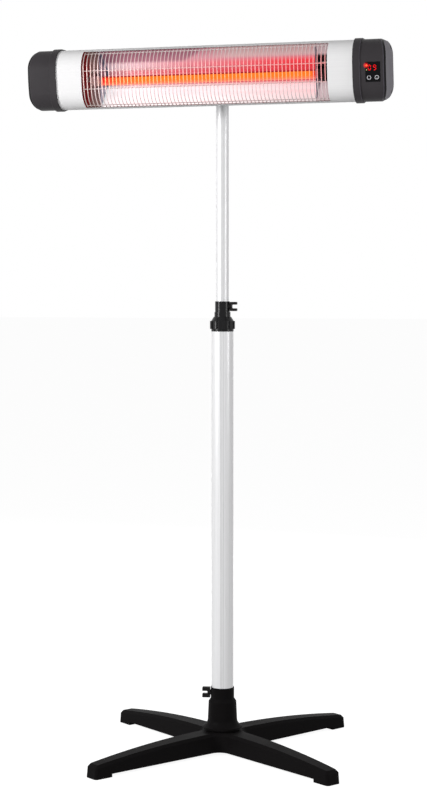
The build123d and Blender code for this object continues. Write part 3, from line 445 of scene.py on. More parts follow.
def painted(made):
    """A finish's tree, its shader and the socket that gives its colour."""
    tree = made.node_tree
    shader = tree.nodes["Principled BSDF"]
    return tree, shader, shader.inputs["Base Color"].links[0].from_socket


def lit(name, colour, strength):
    """A lit plastic lens: its colour deepens a little from place to place."""
    made, tree, shader = blank(name, roughness=0.3, specular=0.08)
    shade = blend(tree, noise(tree, 900.0, detail=1.0), colour, [0.8 * part for part in colour])
    join(tree, shade, shader.inputs["Emission Color"])
    join(tree, shade, shader.inputs["Base Color"])
    shader.inputs["Emission Strength"].default_value = strength
    return made


# Step from the power light to the middle of its glow
HALO_SHIFT = Vector(mm(1.4, 0, 0))


def add_halo(made):
    """Paint the power light's glow on a material, as light of its own."""
    tree, shader, _ = painted(made)
    values = {
        "Centre": light_point(sizes().power_rise) - HALO_SHIFT,
        "Reach": sizes().halo_radius,
        "Light": (*colours().digits, 1),
    }
    halo = add_node(tree, "ShaderNodeGroup", values, node_tree=shared_group("power_light_halo", halo_group))
    join(tree, halo.outputs["Glow"], shader.inputs["Emission Color"])
    shader.inputs["Emission Strength"].default_value = 1.0


def finish(made, *names):
    """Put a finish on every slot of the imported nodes."""
    for name in names:
        mesh = nodes[name].data
        if not mesh.materials:
            mesh.materials.append(made)
        for number in range(len(mesh.materials)):
            mesh.materials[number] = made


class HEATER_OT_plastic_finishes(bpy.types.Operator):
    """Black base and clamps, charcoal caps and grey end covers"""
    bl_idname = "heater.plastic_finishes"
    bl_label = "Plastic finishes"
    rubber = (0.011, 0.011, 0.011)

    # How far sideways the surface looks on the caps' rounded rim (painted highlight) and the covers' skirt
    # (painted shade)
    rim_highlight_band = (0.32, 0.80, 0.10)
    skirt_shade_range = (0.2, 0.4)

    def execute(self, context):
        tone = colours()
        legs = [name for name in nodes if name.startswith("leg_") and name != "leg_screws"]
        finish(moulded("satin_black", tone.black, gloss=0.5, specular=0.02, scale=700.0),
               "base_hub", "base_sleeve", *legs)
        finish(moulded("clamp_black", tone.clamp, gloss=0.22, specular=0.20, scale=900.0, bump=0.06),
               "clamp_body", "clamp_nut", "mast_head")
        finish(moulded("wing_black", tone.black, gloss=0.42, specular=0.12, scale=1200.0),
               "lower_wing_grip", "upper_wing_grip", "tilt_knob", "cable_gland")
        finish(moulded("slip_black", tone.black, gloss=0.6, scale=500.0),
               "tube_foot_plug", "tube_guide", "clamp_bush", "tilt_washers")
        finish(moulded("foot_rubber", self.rubber, gloss=0.8, scale=400.0, bump=0.5),
               "foot_pads", "cap_gasket_left", "cap_gasket_right")
        finish(self.cap_charcoal(), "end_cap_left", "end_cap_right")
        finish(self.cover_grey(), "end_cover_left", "end_cover_right")
        return {"FINISHED"}

    def cap_charcoal(self):
        """Charcoal caps, with a painted highlight along the rounded rim and the power light's glow painted
        beside the panel.
        """
        made = moulded("cap_charcoal", colours().charcoal, gloss=0.42, specular=0.07)
        tree, shader, plain = painted(made)
        sideways = split(tree, normal_of(tree))["X"]
        # Painted highlight: the rounded rim is painted paler, as if it caught the light
        rim_highlight = band(tree, sideways, *self.rim_highlight_band)
        join(tree, blend(tree, rim_highlight, plain, colours().cover), shader.inputs["Base Color"])
        add_halo(made)
        return made

    def cover_grey(self):
        """Grey covers whose skirt, which sits in the cap's mouth, is painted black as shade."""
        made = moulded("cover_grey", colours().cover, gloss=0.5, specular=0.2)
        tree, shader, plain = painted(made)
        outward = calculate(tree, "ABSOLUTE", split(tree, normal_of(tree))["X"], 0.0)
        # Painted shade: the skirt's walls are painted black, as the shadow in the gap between cap and cover
        skirt_shade = fall(tree, outward, *self.skirt_shade_range)
        join(tree, blend(tree, skirt_shade, plain, colours().panel), shader.inputs["Base Color"])
        return made


class HEATER_OT_metal_finishes(bpy.types.Operator):
    """Silver housing and tubes, plated guard and steel fasteners"""
    bl_idname = "heater.metal_finishes"
    bl_label = "Metal finishes"

    # Darker lines down a tube's front: middle and half width in millimetres, and a shade
    upper_dark_lines = ((0.0, 2.6, 0.82),)
    lower_dark_lines = ((-3.4, 0.9, 0.70), (1.1, 0.9, 0.72))
    dark_line_soft = 0.5
    tube_front = mm(-1, 1)

    zinc = (0.52, 0.53, 0.54)
    brass = (0.62, 0.43, 0.16)
    bracket_black = (0.012, 0.012, 0.013)
    screw_black = (0.01, 0.01, 0.011)

    # Painted light and shade on the guard wire: shade over the left chamber, the lamp's light where it
    # crosses the lamp
    shaded_wire = (0.50, 0.42, 0.40)
    pink_lamp_light = (0.90, 0.30, 0.30)
    orange_lamp_light = (1.0, 0.42, 0.20)

    # Colour and painted glow inside the housing: the lamp's light painted on the bare metal, and painted
    # shade behind the lamp
    red_lamp_lit_wall = ((0.20, 0.014, 0.016), (0.070, 0.004, 0.005))
    brown_lamp_lit_wall = ((0.26, 0.16, 0.15), (0.075, 0.040, 0.038))
    pale_lamp_lit_wall = ((0.50, 0.42, 0.43), (0.28, 0.22, 0.23))
    shaded_wall = ((0.012, 0.006, 0.007), (0.004, 0.001, 0.001))

    # Limits in the head's own frame. A band's third value is its soft edge.
    wire_shade_limits = mm(-254, -246)
    pink_light_length = mm(-260, 200)
    pink_light_share = (0.1, 0.8)
    pink_light_band = mm(-17, 42, 8)
    orange_light_band = mm(-14, 6, 2)
    orange_light_length_band = mm(-235, 245, 10)
    window_edge = mm(-104.5, -102.5)
    right_range = mm(-2, 2)
    wall_shade_band = mm(-18, 38, 3)

    # Limits from the reflector's left end, and of which way the surface looks
    brown_range = mm(-50, -40)
    backward_range = (0.2, 0.4)
    inward_range = mm(-4, -1)

    def execute(self, context):
        finish(self.housing_silver(), "housing")
        finish(self.tube_silver("upper_tube_silver", self.upper_dark_lines), "upper_tube")
        finish(self.tube_silver("lower_tube_silver", self.lower_dark_lines), "lower_tube")
        finish(self.guard_wire(), "guard_grille")
        finish(drawn("bracket_black", self.bracket_black, (300, 40, 40), gloss=0.45, metallic=0.2),
               "tilt_bracket")
        finish(drawn("zinc_screw", self.zinc, (500, 500, 500), gloss=0.35, contrast=0.1),
               "leg_screws", "sleeve_screws", "mast_head_screw", "cap_screws", "bracket_screws", "tilt_bolt",
               "lower_wing_stud", "upper_wing_stud")
        finish(drawn("cover_screw_black", self.screw_black, (500, 500, 500), gloss=0.4, metallic=0.4),
               "cover_screws")
        finish(drawn("brass_insert", self.brass, (600, 600, 600), gloss=0.3, contrast=0.08),
               "lower_wing_insert", "upper_wing_insert")
        return {"FINISHED"}

    def tube_silver(self, name, dark_lines):
        """Drawn silver tube with long darker lines down its front."""
        tone = colours().tube
        made = drawn(name, tone, (260, 260, 2.5), gloss=0.3, metallic=0.15, contrast=0.03)
        tree, shader, plain = painted(made)
        x, y, _ = turned_parts(tree, (0, 0, 0), (0, 0, sizes().dark_line_turn))
        front = fall(tree, y, *self.tube_front)
        layers = []
        for offset, half, shade in dark_lines:
            line = band(tree, x, *mm(offset - half, offset + half, self.dark_line_soft))
            layers.append((both(tree, line, front), [shade * part for part in tone]))
        join(tree, layered(tree, plain, *layers), shader.inputs["Base Color"])
        return made

    def guard_wire(self):
        """Plated wire with painted shade over the left chamber, and the lamp's light painted on it where it
        crosses the lamp.
        """
        made = drawn("guard_wire", colours().wire, (900, 900, 40), gloss=0.42, contrast=0.06)
        tree, shader, plain = painted(made)
        x, _, z = head_parts(tree)
        # Painted shade over the left chamber, and painted lamp light on the wire in front of the lamp
        chamber_shade = fall(tree, x, *self.wire_shade_limits)
        growing = spread(tree, x, *self.pink_light_length, *self.pink_light_share)
        pink_light = both(tree, band(tree, z, *self.pink_light_band), growing)
        orange_light = both(tree, band(tree, z, *self.orange_light_band), band(tree, x, *self.orange_light_length_band))
        wire = layered(tree, plain, (chamber_shade, self.shaded_wire), (pink_light, self.pink_lamp_light), (orange_light, self.orange_lamp_light))
        join(tree, wire, shader.inputs["Base Color"])
        return made

    def housing_silver(self):
        """Satin silver outside. Inside, bare metal with the lamp's light painted on it as colour and glow:
        red at the left, brown beside the reflector, pale at the right, with painted shade in a band behind
        the lamp."""
        made = drawn("housing_silver", colours().silver, (3.0, 320, 320), gloss=0.4, metallic=0.0,
                     contrast=0.02, specular=0.12)
        tree, shader, plain = painted(made)
        x, y, z = head_parts(tree)
        behind_edge = rise(tree, y, *self.window_edge)
        backwards = rise(tree, split(tree, normal_of(tree))["Y"], *self.backward_range)
        inside = both(tree, self.facing_axis(tree), either(tree, behind_edge, backwards))
        brown = rise(tree, from_left_end(tree, x), *self.brown_range)
        right = rise(tree, x, *self.right_range)
        # Painted shade in a band behind the lamp; the walls' other colours and glow are painted lamp light
        shade_behind_lamp = band(tree, z, *self.wall_shade_band)
        for part, outside, socket in ((0, plain, "Base Color"), (1, (0, 0, 0), "Emission Color")):
            left_wall = blend(tree, brown, self.red_lamp_lit_wall[part], self.brown_lamp_lit_wall[part])
            right_wall = blend(tree, shade_behind_lamp, self.pale_lamp_lit_wall[part], self.shaded_wall[part])
            wall = blend(tree, right, left_wall, right_wall)
            join(tree, blend(tree, inside, outside, wall), shader.inputs[socket])
        shader.inputs["Emission Strength"].default_value = 1.0
        return made

    def facing_axis(self, tree):
        """One on walls that face the housing's long axis."""
        from_axis = add_node(tree, "ShaderNodeVectorMath", {1: middle("housing")}, operation="SUBTRACT")
        join(tree, place_of(tree), from_axis.inputs[0])
        across = add_node(tree, "ShaderNodeVectorMath", {1: (0, 1, 1)}, operation="MULTIPLY")
        join(tree, from_axis.outputs[0], across.inputs[0])
        facing = add_node(tree, "ShaderNodeVectorMath", operation="DOT_PRODUCT")
        join(tree, across.outputs[0], facing.inputs[0])
        join(tree, normal_of(tree), facing.inputs[1])
        return fall(tree, facing.outputs["Value"], *self.inward_range)


class HEATER_OT_lamp_finishes(bpy.types.Operator):
    """Glowing lamp, polished reflector, ceramic ends and wiring"""
    bl_idname = "heater.lamp_finishes"
    bl_label = "Lamp finishes"

    end_sheet = (0.24, 0.25, 0.31)
    ceramic = (0.62, 0.40, 0.38)
    # Painted shade: dark copies of the ceramic and the holder's steel for the right lamp end, which lies in
    # shade
    shaded_ceramic = (0.020, 0.011, 0.011)
    holder_steel = (0.45, 0.25, 0.26)
    shaded_steel = (0.035, 0.018, 0.018)
    wire_sleeve = (0.55, 0.50, 0.46)
    board_green = (0.012, 0.12, 0.045)
    component = (0.02, 0.02, 0.022)
    indicator_red = (0.5, 0.04, 0.03)

    # Light of the lamp tube
    left_tip = (0.35, 0.004, 0.006)
    right_tip = (0.30, 0.006, 0.006)
    left_red = (0.80, 0.016, 0.012)
    left_orange = (0.98, 0.14, 0.03)
    right_red = (0.75, 0.02, 0.015)
    under_glow = (0.92, 0.20, 0.15)
    # Painted shade: a dark line along the tube's upper edge
    upper_shade_line = (0.30, 0.004, 0.012)
    mirrored_glow = (0.62, 0.42, 0.42)
    unlit_quartz = (0.10, 0.01, 0.004)
    bright_weave = (1.0, 0.45, 0.10)
    unlit_carbon = (0.1, 0.02, 0.01)

    # Colours that the sheet mirrors, painted on it as reflections, and its painted glow
    left_haze_reflection = (0.58, 0.44, 0.47)
    right_haze_reflection = (0.46, 0.23, 0.27)
    top_right_reflection = (0.45, 0.34, 0.34)
    foot_reflection = (0.54, 0.48, 0.50)
    slate_reflection = (0.12, 0.13, 0.18)
    lower_painted_glow = (2.1, 2.15, 2.15)

    tube_strength = 1.05
    element_strength = 4.0
    # Strength of the sheet's painted glow
    sheet_glow_strength = 0.32

    # Heights on the lamp tube in radii from its axis, and shares between them
    under_height = (-0.95, -0.35)
    under_share = (0.75, 0.0)
    shade_line_height = (0.50, 0.68)
    flicker_share = (0.9, 1.08)

    # Limits on the sheet in the head's own frame. A band's third value is its soft edge.
    haze_height = mm(2, 10)
    haze_length = mm(-220, -50)
    beside_band = mm(-20, 17, 6)
    beside_length = mm(-240, 100)
    beside_share = (0.55, 1.0)
    wide_band = mm(-12, 34, 6)
    wide_length = mm(-160, 180)
    purple_rise_length = mm(-60, -10)
    purple_rise = mm(35, 56)
    purple_edge = mm(-4, 3)
    purple_end = mm(-20, 10)
    top_height = mm(36, 42)
    top_length = mm(0, 60)
    foot_height = mm(-56, -36)
    foot_length = mm(-100, 200)
    foot_share = (0.05, 0.8)
    lower_height = mm(-22, -16)
    lower_length = mm(0, 250)
    lower_share = (1.0, 0.5)
    wave_depth = 4 * MM

    # Limits from the reflector's left end
    slate_reflection_range = mm(2, 5)

    def execute(self, context):
        finish(self.glowing_tube(), "lamp_tube")
        finish(self.hot_element(), "heating_element")
        finish(self.reflector_mirror(), "reflector")
        finish(drawn("reflector_end_sheet", self.end_sheet, (6.0, 220, 220), gloss=0.3),
               "reflector_end_left", "reflector_end_right")
        finish(moulded("lamp_ceramic", self.ceramic, gloss=0.7, scale=300.0, specular=0.3), "lamp_end_left")
        # Painted shade: the right lamp end and its holder are painted dark, as if in shadow
        finish(moulded("lamp_ceramic_shaded", self.shaded_ceramic, gloss=0.7, scale=300.0), "lamp_end_right")
        finish(drawn("holder_steel", self.holder_steel, (60, 300, 300), gloss=0.4, metallic=0.6),
               "lamp_holder_left")
        finish(drawn("holder_shaded", self.shaded_steel, (60, 300, 300), gloss=0.5), "lamp_holder_right")
        finish(moulded("wire_sleeve", self.wire_sleeve, gloss=0.75, scale=1500.0), "lamp_leads")
        finish(moulded("circuit_board", self.board_green, gloss=0.4, scale=200.0), "control_board")
        finish(moulded("component_black", self.component, gloss=0.5),
               "tact_switches", "display_module", "control_relay", "terminal_block")
        finish(moulded("indicator_body", self.indicator_red, gloss=0.2, specular=0.5), "indicator_leds")
        return {"FINISHED"}

    def glowing_tube(self):
        """Quartz tube lit from inside: orange, red at its ends, with a painted shade line along its upper
        edge.
        """
        made, tree, shader = blank("lamp_quartz", roughness=0.25, specular=0.12)
        x, _, z = split(tree, place_of(tree))
        half = span("lamp_tube", 0) / 2
        radius = span("lamp_tube", 2) / 2
        axis = middle("lamp_tube").z
        along = self.tube_colours(tree, rise(tree, x, -half, half))
        under_limits = [axis + part * radius for part in self.under_height]
        under = spread(tree, z, *under_limits, *self.under_share)
        # Painted shade along the tube's upper edge
        upper = rise(tree, z, *[axis + part * radius for part in self.shade_line_height])
        glow = layered(tree, along, (under, self.under_glow), (upper, self.upper_shade_line))
        grain = noise(tree, 160.0)
        flicker = scaled(tree, glow, spread(tree, grain, *NOISE_RANGE, *self.flicker_share))
        mirrored = add_node(tree, "ShaderNodeLightPath").outputs["Is Glossy Ray"]
        join(tree, blend(tree, mirrored, flicker, self.mirrored_glow), shader.inputs["Emission Color"])
        shader.inputs["Emission Strength"].default_value = self.tube_strength
        shader.inputs["Base Color"].default_value = (*self.unlit_quartz, 1)
        bumped(tree, shader, grain, 0.1, STREAK_DEPTH)
        return made

    def tube_colours(self, tree, along):
        """Colours from the tube's left tip to its right one."""
        ramp = add_node(tree, "ShaderNodeValToRGB")
        join(tree, along, ramp.inputs[0])
        stops = ramp.color_ramp.elements
        stops[0].color = (*self.left_tip, 1)
        stops[1].color = (*self.right_tip, 1)
        glow = colours().glow
        for spot, shade in ((0.03, self.left_red), (0.10, self.left_orange), (0.2, glow), (0.955, glow),
                            (0.975, self.right_red)):
            stop = stops.new(spot)
            stop.color = (*shade, 1)
        return ramp.outputs[0]

    def hot_element(self):
        """Woven carbon element at full heat."""
        made, tree, shader = blank("hot_carbon", roughness=0.8)
        values = {"Scale": 380.0, "Distortion": 1.5}
        weave = add_node(tree, "ShaderNodeTexWave", values, bands_direction="DIAGONAL")
        join(tree, place_of(tree), weave.inputs["Vector"])
        strands = weave.outputs["Fac"]
        join(tree, blend(tree, strands, colours().glow, self.bright_weave), shader.inputs["Emission Color"])
        shader.inputs["Emission Strength"].default_value = self.element_strength
        shader.inputs["Base Color"].default_value = (*self.unlit_carbon, 1)
        bumped(tree, shader, strands, 0.4, GRAIN_DEPTH)
        return made

    def reflector_mirror(self):
        """Polished sheet, slightly wavy, with painted reflections: hazy above the lamp, red beside it, purple
        at the top left, pale at the top right and along its foot, slate at its left end. Its painted glow is
        bright in its lower half."""
        tone = colours()
        made = drawn("reflector_mirror", tone.mirror, (6.0, 220, 220), gloss=0.34, contrast=0.04)
        tree, shader, plain = painted(made)
        x, _, z = head_parts(tree)
        # Painted reflections: colours that stand in for what the polished sheet mirrors
        haze_reflection = blend(tree, rise(tree, x, *self.haze_length), self.left_haze_reflection, self.right_haze_reflection)
        top = both(tree, rise(tree, z, *self.top_height), rise(tree, x, *self.top_length))
        sheet = layered(
            tree, plain,
            (rise(tree, z, *self.haze_height), haze_reflection),
            (self.red_reflection(tree, x, z), tone.red_reflection),
            (self.purple_reflection_share(tree, x, z), tone.purple_reflection),
            (top, self.top_right_reflection),
            (self.foot(tree, x, z), self.foot_reflection),
            (fall(tree, from_left_end(tree, x), *self.slate_reflection_range), self.slate_reflection),
        )
        # Painted glow: the whole sheet gives off a little light, more in its lower half
        dimming = spread(tree, x, *self.lower_length, *self.lower_share)
        lower_half = both(tree, fall(tree, z, *self.lower_height), dimming)
        join(tree, sheet, shader.inputs["Base Color"])
        join(tree, blend(tree, lower_half, sheet, self.lower_painted_glow), shader.inputs["Emission Color"])
        shader.inputs["Emission Strength"].default_value = self.sheet_glow_strength
        bumped(tree, shader, noise(tree, 14.0, detail=1.0), 0.25, self.wave_depth)
        return made

    def red_reflection(self, tree, x, z):
        """Share of the lamp's red, painted as a reflection on a band beside the tube and a wider one that
        grows to the right.
        """
        growing = spread(tree, x, *self.beside_length, *self.beside_share)
        beside = both(tree, band(tree, z, *self.beside_band), growing)
        wide = both(tree, band(tree, z, *self.wide_band), rise(tree, x, *self.wide_length))
        return either(tree, beside, wide)

    def purple_reflection_share(self, tree, x, z):
        """Share of the painted purple reflection, along the top of the left half."""
        lower_edge = spread(tree, x, *self.purple_rise_length, *self.purple_rise)
        above = calculate(tree, "SUBTRACT", z, lower_edge)
        return both(tree, rise(tree, above, *self.purple_edge), fall(tree, x, *self.purple_end))

    def foot(self, tree, x, z):
        """Share of the painted grey reflection along the sheet's lower edge, which grows to the right."""
        growing = spread(tree, x, *self.foot_length, *self.foot_share)
        return both(tree, fall(tree, z, *self.foot_height), growing)


class HEATER_OT_panel_finishes(bpy.types.Operator):
    """Gloss control panel and keys"""
    bl_idname = "heater.panel_finishes"
    bl_label = "Panel finishes"

    def execute(self, context):
        made = moulded("panel_gloss", colours().panel, gloss=0.16, specular=0.08, variation=0.3, bump=0.02)
        add_halo(made)
        finish(made, "control_window")
        finish(moulded("key_gloss", colours().panel, gloss=0.25, specular=0.15, bump=0.05),
               "power_button", "mode_button")
        return {"FINISHED"}


# New pieces

def new_piece(name, shape, made, body):
    """Put a bmesh into the scene as a piece that rides on a body."""
    mesh = bpy.data.meshes.new(name)
    bmesh.ops.recalc_face_normals(shape, faces=shape.faces[:])
    shape.to_mesh(mesh)
    shape.free()
    mesh.materials.append(made)
    piece = bpy.data.objects.new(name, mesh)
    bpy.context.scene.collection.objects.link(piece)
    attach(piece, body)
    return piece


def new_verts(geometry):
    """The vertices in what a bmesh operator made."""
    return [part for part in geometry if isinstance(part, bmesh.types.BMVert)]


def place_verts(shape, verts, *steps):
    """Move vertices by the product of some matrices."""
    matrix = Matrix.Identity(4)
    for step in steps:
        matrix = matrix @ step
    bmesh.ops.transform(shape, matrix=matrix, verts=verts)


UPRIGHT = Matrix.Rotation(math.pi / 2, 4, "X")
WELD = 0.01 * MM


class HEATER_OT_display_digits(bpy.types.Operator):
    """Two lit seven-segment digits that show through the gloss panel"""
    bl_idname = "heater.display_digits"
    bl_label = "Display digits"
    segments = {0: "abcdef", 9: "abcdfg"}
    thick = 0.3 * MM
    sunk = 0.2 * MM
    raised = 0.6 * MM
    end_gap = 0.6

    def execute(self, context):
        shape = bmesh.new()
        display = in_head(middle("display_module"))
        for number, digit in enumerate((0, 9)):
            x = display.x + (number - 0.5) * sizes().digit_pitch
            for segment in self.segments[digit]:
                self.segment(shape, segment, x, display.z + self.raised)
        new_piece("display_digits", shape, lit("display_red", colours().digits, 1.0), "head")
        return {"FINISHED"}

    def segment(self, shape, name, x, z):
        """One segment as a thin six-sided bar on the panel's face."""
        half_width = sizes().digit_width / 2
        half_height = sizes().digit_height / 2
        stroke = sizes().stroke
        flat = name in "adg"
        right, up = {
            "a": (0, half_height), "d": (0, -half_height), "g": (0, 0),
            "b": (half_width, half_height / 2), "c": (half_width, -half_height / 2),
            "e": (-half_width, -half_height / 2), "f": (-half_width, half_height / 2),
        }[name]
        length = (2 * half_width if flat else half_height) - self.end_gap * stroke
        verts = bmesh.ops.create_circle(shape, cap_ends=True, segments=6, radius=stroke / 2)["verts"]
        bmesh.ops.scale(shape, vec=(length / stroke, 1, 1), verts=verts)
        face = verts[0].link_faces[0]
        top = new_verts(bmesh.ops.extrude_face_region(shape, geom=[face])["geom"])
        bmesh.ops.translate(shape, vec=(0, 0, self.thick), verts=top)
        turn = Matrix.Identity(4) if flat else Matrix.Rotation(math.pi / 2, 4, "Z")
        spot = Matrix.Translation((x + right, panel_depth(z + up) + self.sunk, z + up))
        place_verts(shape, verts + top, head_place(), spot, UPRIGHT, turn)


class HEATER_OT_indicator_lenses(bpy.types.Operator):
    """Red power light and small green light on the panel's face"""
    bl_idname = "heater.indicator_lenses"
    bl_label = "Indicator lenses"
    flatness = 0.35
    power_scale = 1.25
    ready_scale = 0.85
    orange = (1.0, 0.13, 0.03)
    green = (0.34, 0.36, 0.12)

    def execute(self, context):
        power = lit("power_lens_orange", self.orange, 1.3)
        self.lens("power_lens", sizes().power_rise, self.power_scale, power)
        ready = lit("ready_lens_green", self.green, 0.8)
        self.lens("ready_lens", sizes().ready_rise, self.ready_scale, ready)
        return {"FINISHED"}

    def lens(self, name, height, scale, made):
        """A low dome, squashed onto the panel's face."""
        shape = bmesh.new()
        radius = sizes().lens_radius * scale
        verts = bmesh.ops.create_uvsphere(shape, u_segments=20, v_segments=10, radius=radius)["verts"]
        bmesh.ops.scale(shape, vec=(1, self.flatness, 1), verts=verts)
        turn = Matrix.Rotation(sizes().tilt, 4, "X")
        place_verts(shape, verts, Matrix.Translation(light_point(height)), turn)
        new_piece(name, shape, made, "head").data.shade_smooth()


class HEATER_OT_key_symbols(bpy.types.Operator):
    """Pale rings printed on both keys: one open with a bar, one with a pointer"""
    bl_idname = "heater.key_symbols"
    bl_label = "Key symbols"
    print_grey = (0.52, 0.52, 0.54)
    thick = 0.12 * MM
    proud = 0.5 * MM
    bar_width = 0.55

    def execute(self, context):
        made = moulded("key_print", self.print_grey, gloss=0.5, scale=2000.0)
        self.symbol("power_symbol", "power_button", "power_key", made, 50, 90, (0.45, 1.25))
        self.symbol("mode_symbol", "mode_button", "mode_key", made, 0, 300, (0.05, 0.95))
        return {"FINISHED"}

    def symbol(self, name, node, body, made, gap, bar_turn, bar_reach):
        """A flat ring with a gap at the top, and a straight bar. Turns are in degrees, reaches in radii."""
        shape = bmesh.new()
        ring = sizes().ring_radius
        width = sizes().ring_width
        self.ring(shape, ring, width, math.radians(gap))
        bar = bmesh.ops.create_cube(shape, size=1.0)["verts"]
        start, end = bar_reach
        bmesh.ops.scale(shape, vec=((end - start) * ring, self.bar_width * width, self.thick), verts=bar)
        bmesh.ops.translate(shape, vec=((start + end) / 2 * ring, 0, 0), verts=bar)
        place_verts(shape, bar, Matrix.Rotation(math.radians(bar_turn), 4, "Z"))
        spot = in_head(middle(node))
        face = Matrix.Translation((spot.x, panel_depth(spot.z) - self.proud, spot.z))
        place_verts(shape, shape.verts[:], head_place(), face, UPRIGHT)
        new_piece(name, shape, made, body)

    def ring(self, shape, radius, width, gap):
        """A flat section spun round, short of the gap."""
        grid = bmesh.ops.create_grid(shape, x_segments=1, y_segments=1, size=0.5)["verts"]
        bmesh.ops.scale(shape, vec=(width, self.thick, 1), verts=grid)
        start = Matrix.Rotation(math.pi / 2 + gap / 2, 4, "Z")
        place_verts(shape, grid, start, Matrix.Translation((radius, 0, 0)), UPRIGHT)
        bmesh.ops.spin(
            shape, geom=shape.faces[:] + shape.edges[:] + shape.verts[:], cent=(0, 0, 0), axis=(0, 0, 1),
            angle=2 * math.pi - gap, steps=48, use_merge=gap == 0,
        )
        bmesh.ops.remove_doubles(shape, verts=shape.verts[:], dist=WELD)


class HEATER_OT_gland_seal(bpy.types.Operator):
    """Ribbed rubber seal in the mouth of the cord inlet"""
    bl_idname = "heater.gland_seal"
    bl_label = "Gland seal"
    rubber = (0.012, 0.012, 0.012)
    mouth_radius = 3.6 * MM
    rib_radius = 0.35 * MM
    rib_pitch = 1.4 * MM
    ribs = 4
    inset = 6.0 * MM

    def execute(self, context):
        shape = bmesh.new()
        rib = bmesh.ops.create_circle(shape, cap_ends=False, segments=24, radius=self.rib_radius)["verts"]
        place_verts(shape, rib, Matrix.Translation((self.mouth_radius, 0, 0)), UPRIGHT)
        bmesh.ops.spin(
            shape, geom=shape.edges[:] + shape.verts[:], cent=(0, 0, 0), axis=(0, 0, 1), angle=2 * math.pi,
            steps=40, use_merge=True,
        )
        bmesh.ops.remove_doubles(shape, verts=shape.verts[:], dist=WELD)
        first = shape.verts[:] + shape.edges[:] + shape.faces[:]
        for number in range(1, self.ribs):
            copied = new_verts(bmesh.ops.duplicate(shape, geom=first)["geom"])
            bmesh.ops.translate(shape, vec=(0, 0, self.rib_pitch * number), verts=copied)
        gland = in_head(middle("cable_gland"))
        mouth = Matrix.Translation((gland.x, gland.y + self.inset, gland.z))
        place_verts(shape, shape.verts[:], head_place(), mouth, UPRIGHT)
        new_piece("gland_seal", shape, moulded("seal_rubber", self.rubber, gloss=0.7), "head")
        return {"FINISHED"}


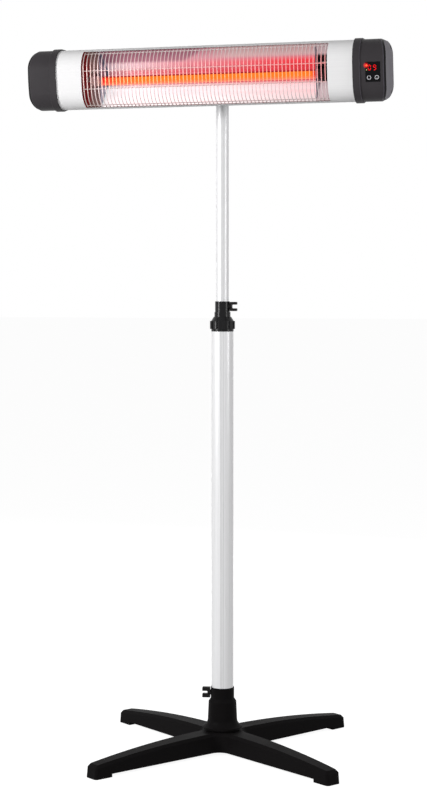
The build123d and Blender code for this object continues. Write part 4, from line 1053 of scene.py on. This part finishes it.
class HEATER_OT_stage(bpy.types.Operator):
    """Add the floor, the backdrop light, the lamps and the camera"""
    bl_idname = "heater.stage"
    bl_label = "Stage"
    ambient = 0.17
    floor_fill = 0.92
    floor_half = 60

    # Each lamp's place, the point that it faces, its width and height in metres, and its watts
    lamps = {
        "key": ((-2.0, -2.0, 1.50), (-0.1, 0, 1.35), 0.7, 1.3, 58),
        "front": ((0.7, -3.4, 1.60), (0, 0, 1.3), 1.2, 0.9, 44),
        "side": ((2.8, -0.6, 1.35), (0.2, 0, 1.3), 0.6, 1.3, 19),
        "rear": ((0.6, 3.4, 1.4), (0, 0, 1.3), 1.6, 1.2, 48),
    }
    mirrored_lamps = ("key", "side")

    # Framing of the photograph in its pixels, the mast's distance from its middle, and the sensor's
    # width in millimetres
    focal_pixels = 1794
    image_height = 800
    level_line = 289.55
    mast_offset = 20.5 * MM
    sensor = 36

    def execute(self, context):
        scene = context.scene
        scene.view_settings.view_transform = "Standard"
        self.floor(scene)
        self.backdrop(scene)
        self.lights(scene)
        self.camera(scene)
        return {"FINISHED"}

    def seen(self, tree):
        """One where the camera, a mirror or glass sees the surface."""
        path = add_node(tree, "ShaderNodeLightPath").outputs
        direct = either(tree, path["Is Camera Ray"], path["Is Glossy Ray"])
        return either(tree, direct, path["Is Transmission Ray"])

    def floor(self, scene):
        """Plain pale floor that keeps the heater's shadow and meets the backdrop in white."""
        mesh = bpy.data.meshes.new("floor")
        shape = bmesh.new()
        bmesh.ops.create_grid(shape, x_segments=1, y_segments=1, size=self.floor_half)
        shape.to_mesh(mesh)
        shape.free()
        floor = bpy.data.objects.new("floor", mesh)
        scene.collection.objects.link(floor)
        made, tree, shader = blank("floor_pale", roughness=0.9, specular=0.0)
        shader.inputs["Base Color"].default_value = (*colours().floor, 1)
        shader.inputs["Emission Color"].default_value = (1, 1, 1, 1)
        fill = calculate(tree, "MULTIPLY", self.seen(tree), self.floor_fill)
        join(tree, fill, shader.inputs["Emission Strength"])
        mesh.materials.append(made)

    def backdrop(self, scene):
        """White where it is seen, and a soft light from all round."""
        world = bpy.data.worlds.new("studio")
        world.use_nodes = True
        tree = world.node_tree
        light = tree.nodes["Background"]
        light.inputs["Color"].default_value = (1, 1, 1, 1)
        join(tree, spread(tree, self.seen(tree), 0.0, 1.0, self.ambient, 1.0), light.inputs["Strength"])
        scene.world = world

    def lights(self, scene):
        """Soft rectangular lamps. Metal and plastic mirror only two of them, as two upright streaks."""
        for name, (place, target, width, height, power) in self.lamps.items():
            lamp = bpy.data.lights.new(name, "AREA")
            lamp.shape = "RECTANGLE"
            lamp.size = width
            lamp.size_y = height
            lamp.energy = power
            light = bpy.data.objects.new(name, lamp)
            light.location = place
            light.visible_glossy = name in self.mirrored_lamps
            light.rotation_euler = (Vector(target) - Vector(place)).to_track_quat("-Z", "Y").to_euler()
            scene.collection.objects.link(light)

    def camera(self, scene):
        """A level camera, shifted so that the heater lies in the frame as in the photograph."""
        turn = sizes().camera_turn
        right = Vector((math.cos(turn), math.sin(turn), 0))
        away = Vector((-math.sin(turn), math.cos(turn), 0))
        data = bpy.data.cameras.new("camera")
        data.sensor_width = self.sensor
        data.lens = self.focal_pixels / self.image_height * self.sensor
        data.shift_y = (self.level_line - self.image_height / 2) / self.image_height
        camera = bpy.data.objects.new("camera", data)
        camera.location = -sizes().camera_distance * away - self.mast_offset * right
        camera.location.z = sizes().camera_height
        camera.rotation_euler = (math.pi / 2, 0, turn)
        scene.collection.objects.link(camera)
        scene.camera = camera


class HEATER_PT_panel(bpy.types.Panel):
    """Sidebar panel that lists the heater's sizes, colours and steps"""
    bl_label = "Patio Heater"
    bl_idname = "HEATER_PT_panel"
    bl_space_type = "VIEW_3D"
    bl_region_type = "UI"
    bl_category = "Heater"

    def draw(self, context):
        for group in (context.scene.heater_sizes, context.scene.heater_colours):
            for name in group.bl_rna.properties.keys():
                if name not in ("name", "rna_type"):
                    self.layout.prop(group, name)
        for step in STEPS:
            self.layout.operator(step.bl_idname)


STEPS = (
    HEATER_OT_plastic_finishes,
    HEATER_OT_metal_finishes,
    HEATER_OT_lamp_finishes,
    HEATER_OT_panel_finishes,
    HEATER_OT_display_digits,
    HEATER_OT_indicator_lenses,
    HEATER_OT_key_symbols,
    HEATER_OT_gland_seal,
    HEATER_OT_stage,
)
CLASSES = (HeaterColours, HeaterSizes, *STEPS, HEATER_PT_panel)


def register():
    for cls in CLASSES:
        bpy.utils.register_class(cls)
    bpy.types.Scene.heater_colours = bpy.props.PointerProperty(type=HeaterColours)
    bpy.types.Scene.heater_sizes = bpy.props.PointerProperty(type=HeaterSizes)


def unregister():
    del bpy.types.Scene.heater_sizes
    del bpy.types.Scene.heater_colours
    for cls in reversed(CLASSES):
        bpy.utils.unregister_class(cls)


def main():
    """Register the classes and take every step."""
    register()
    for step in STEPS:
        group, name = step.bl_idname.split(".")
        getattr(getattr(bpy.ops, group), name)()


if __name__ == "__main__":
    main()
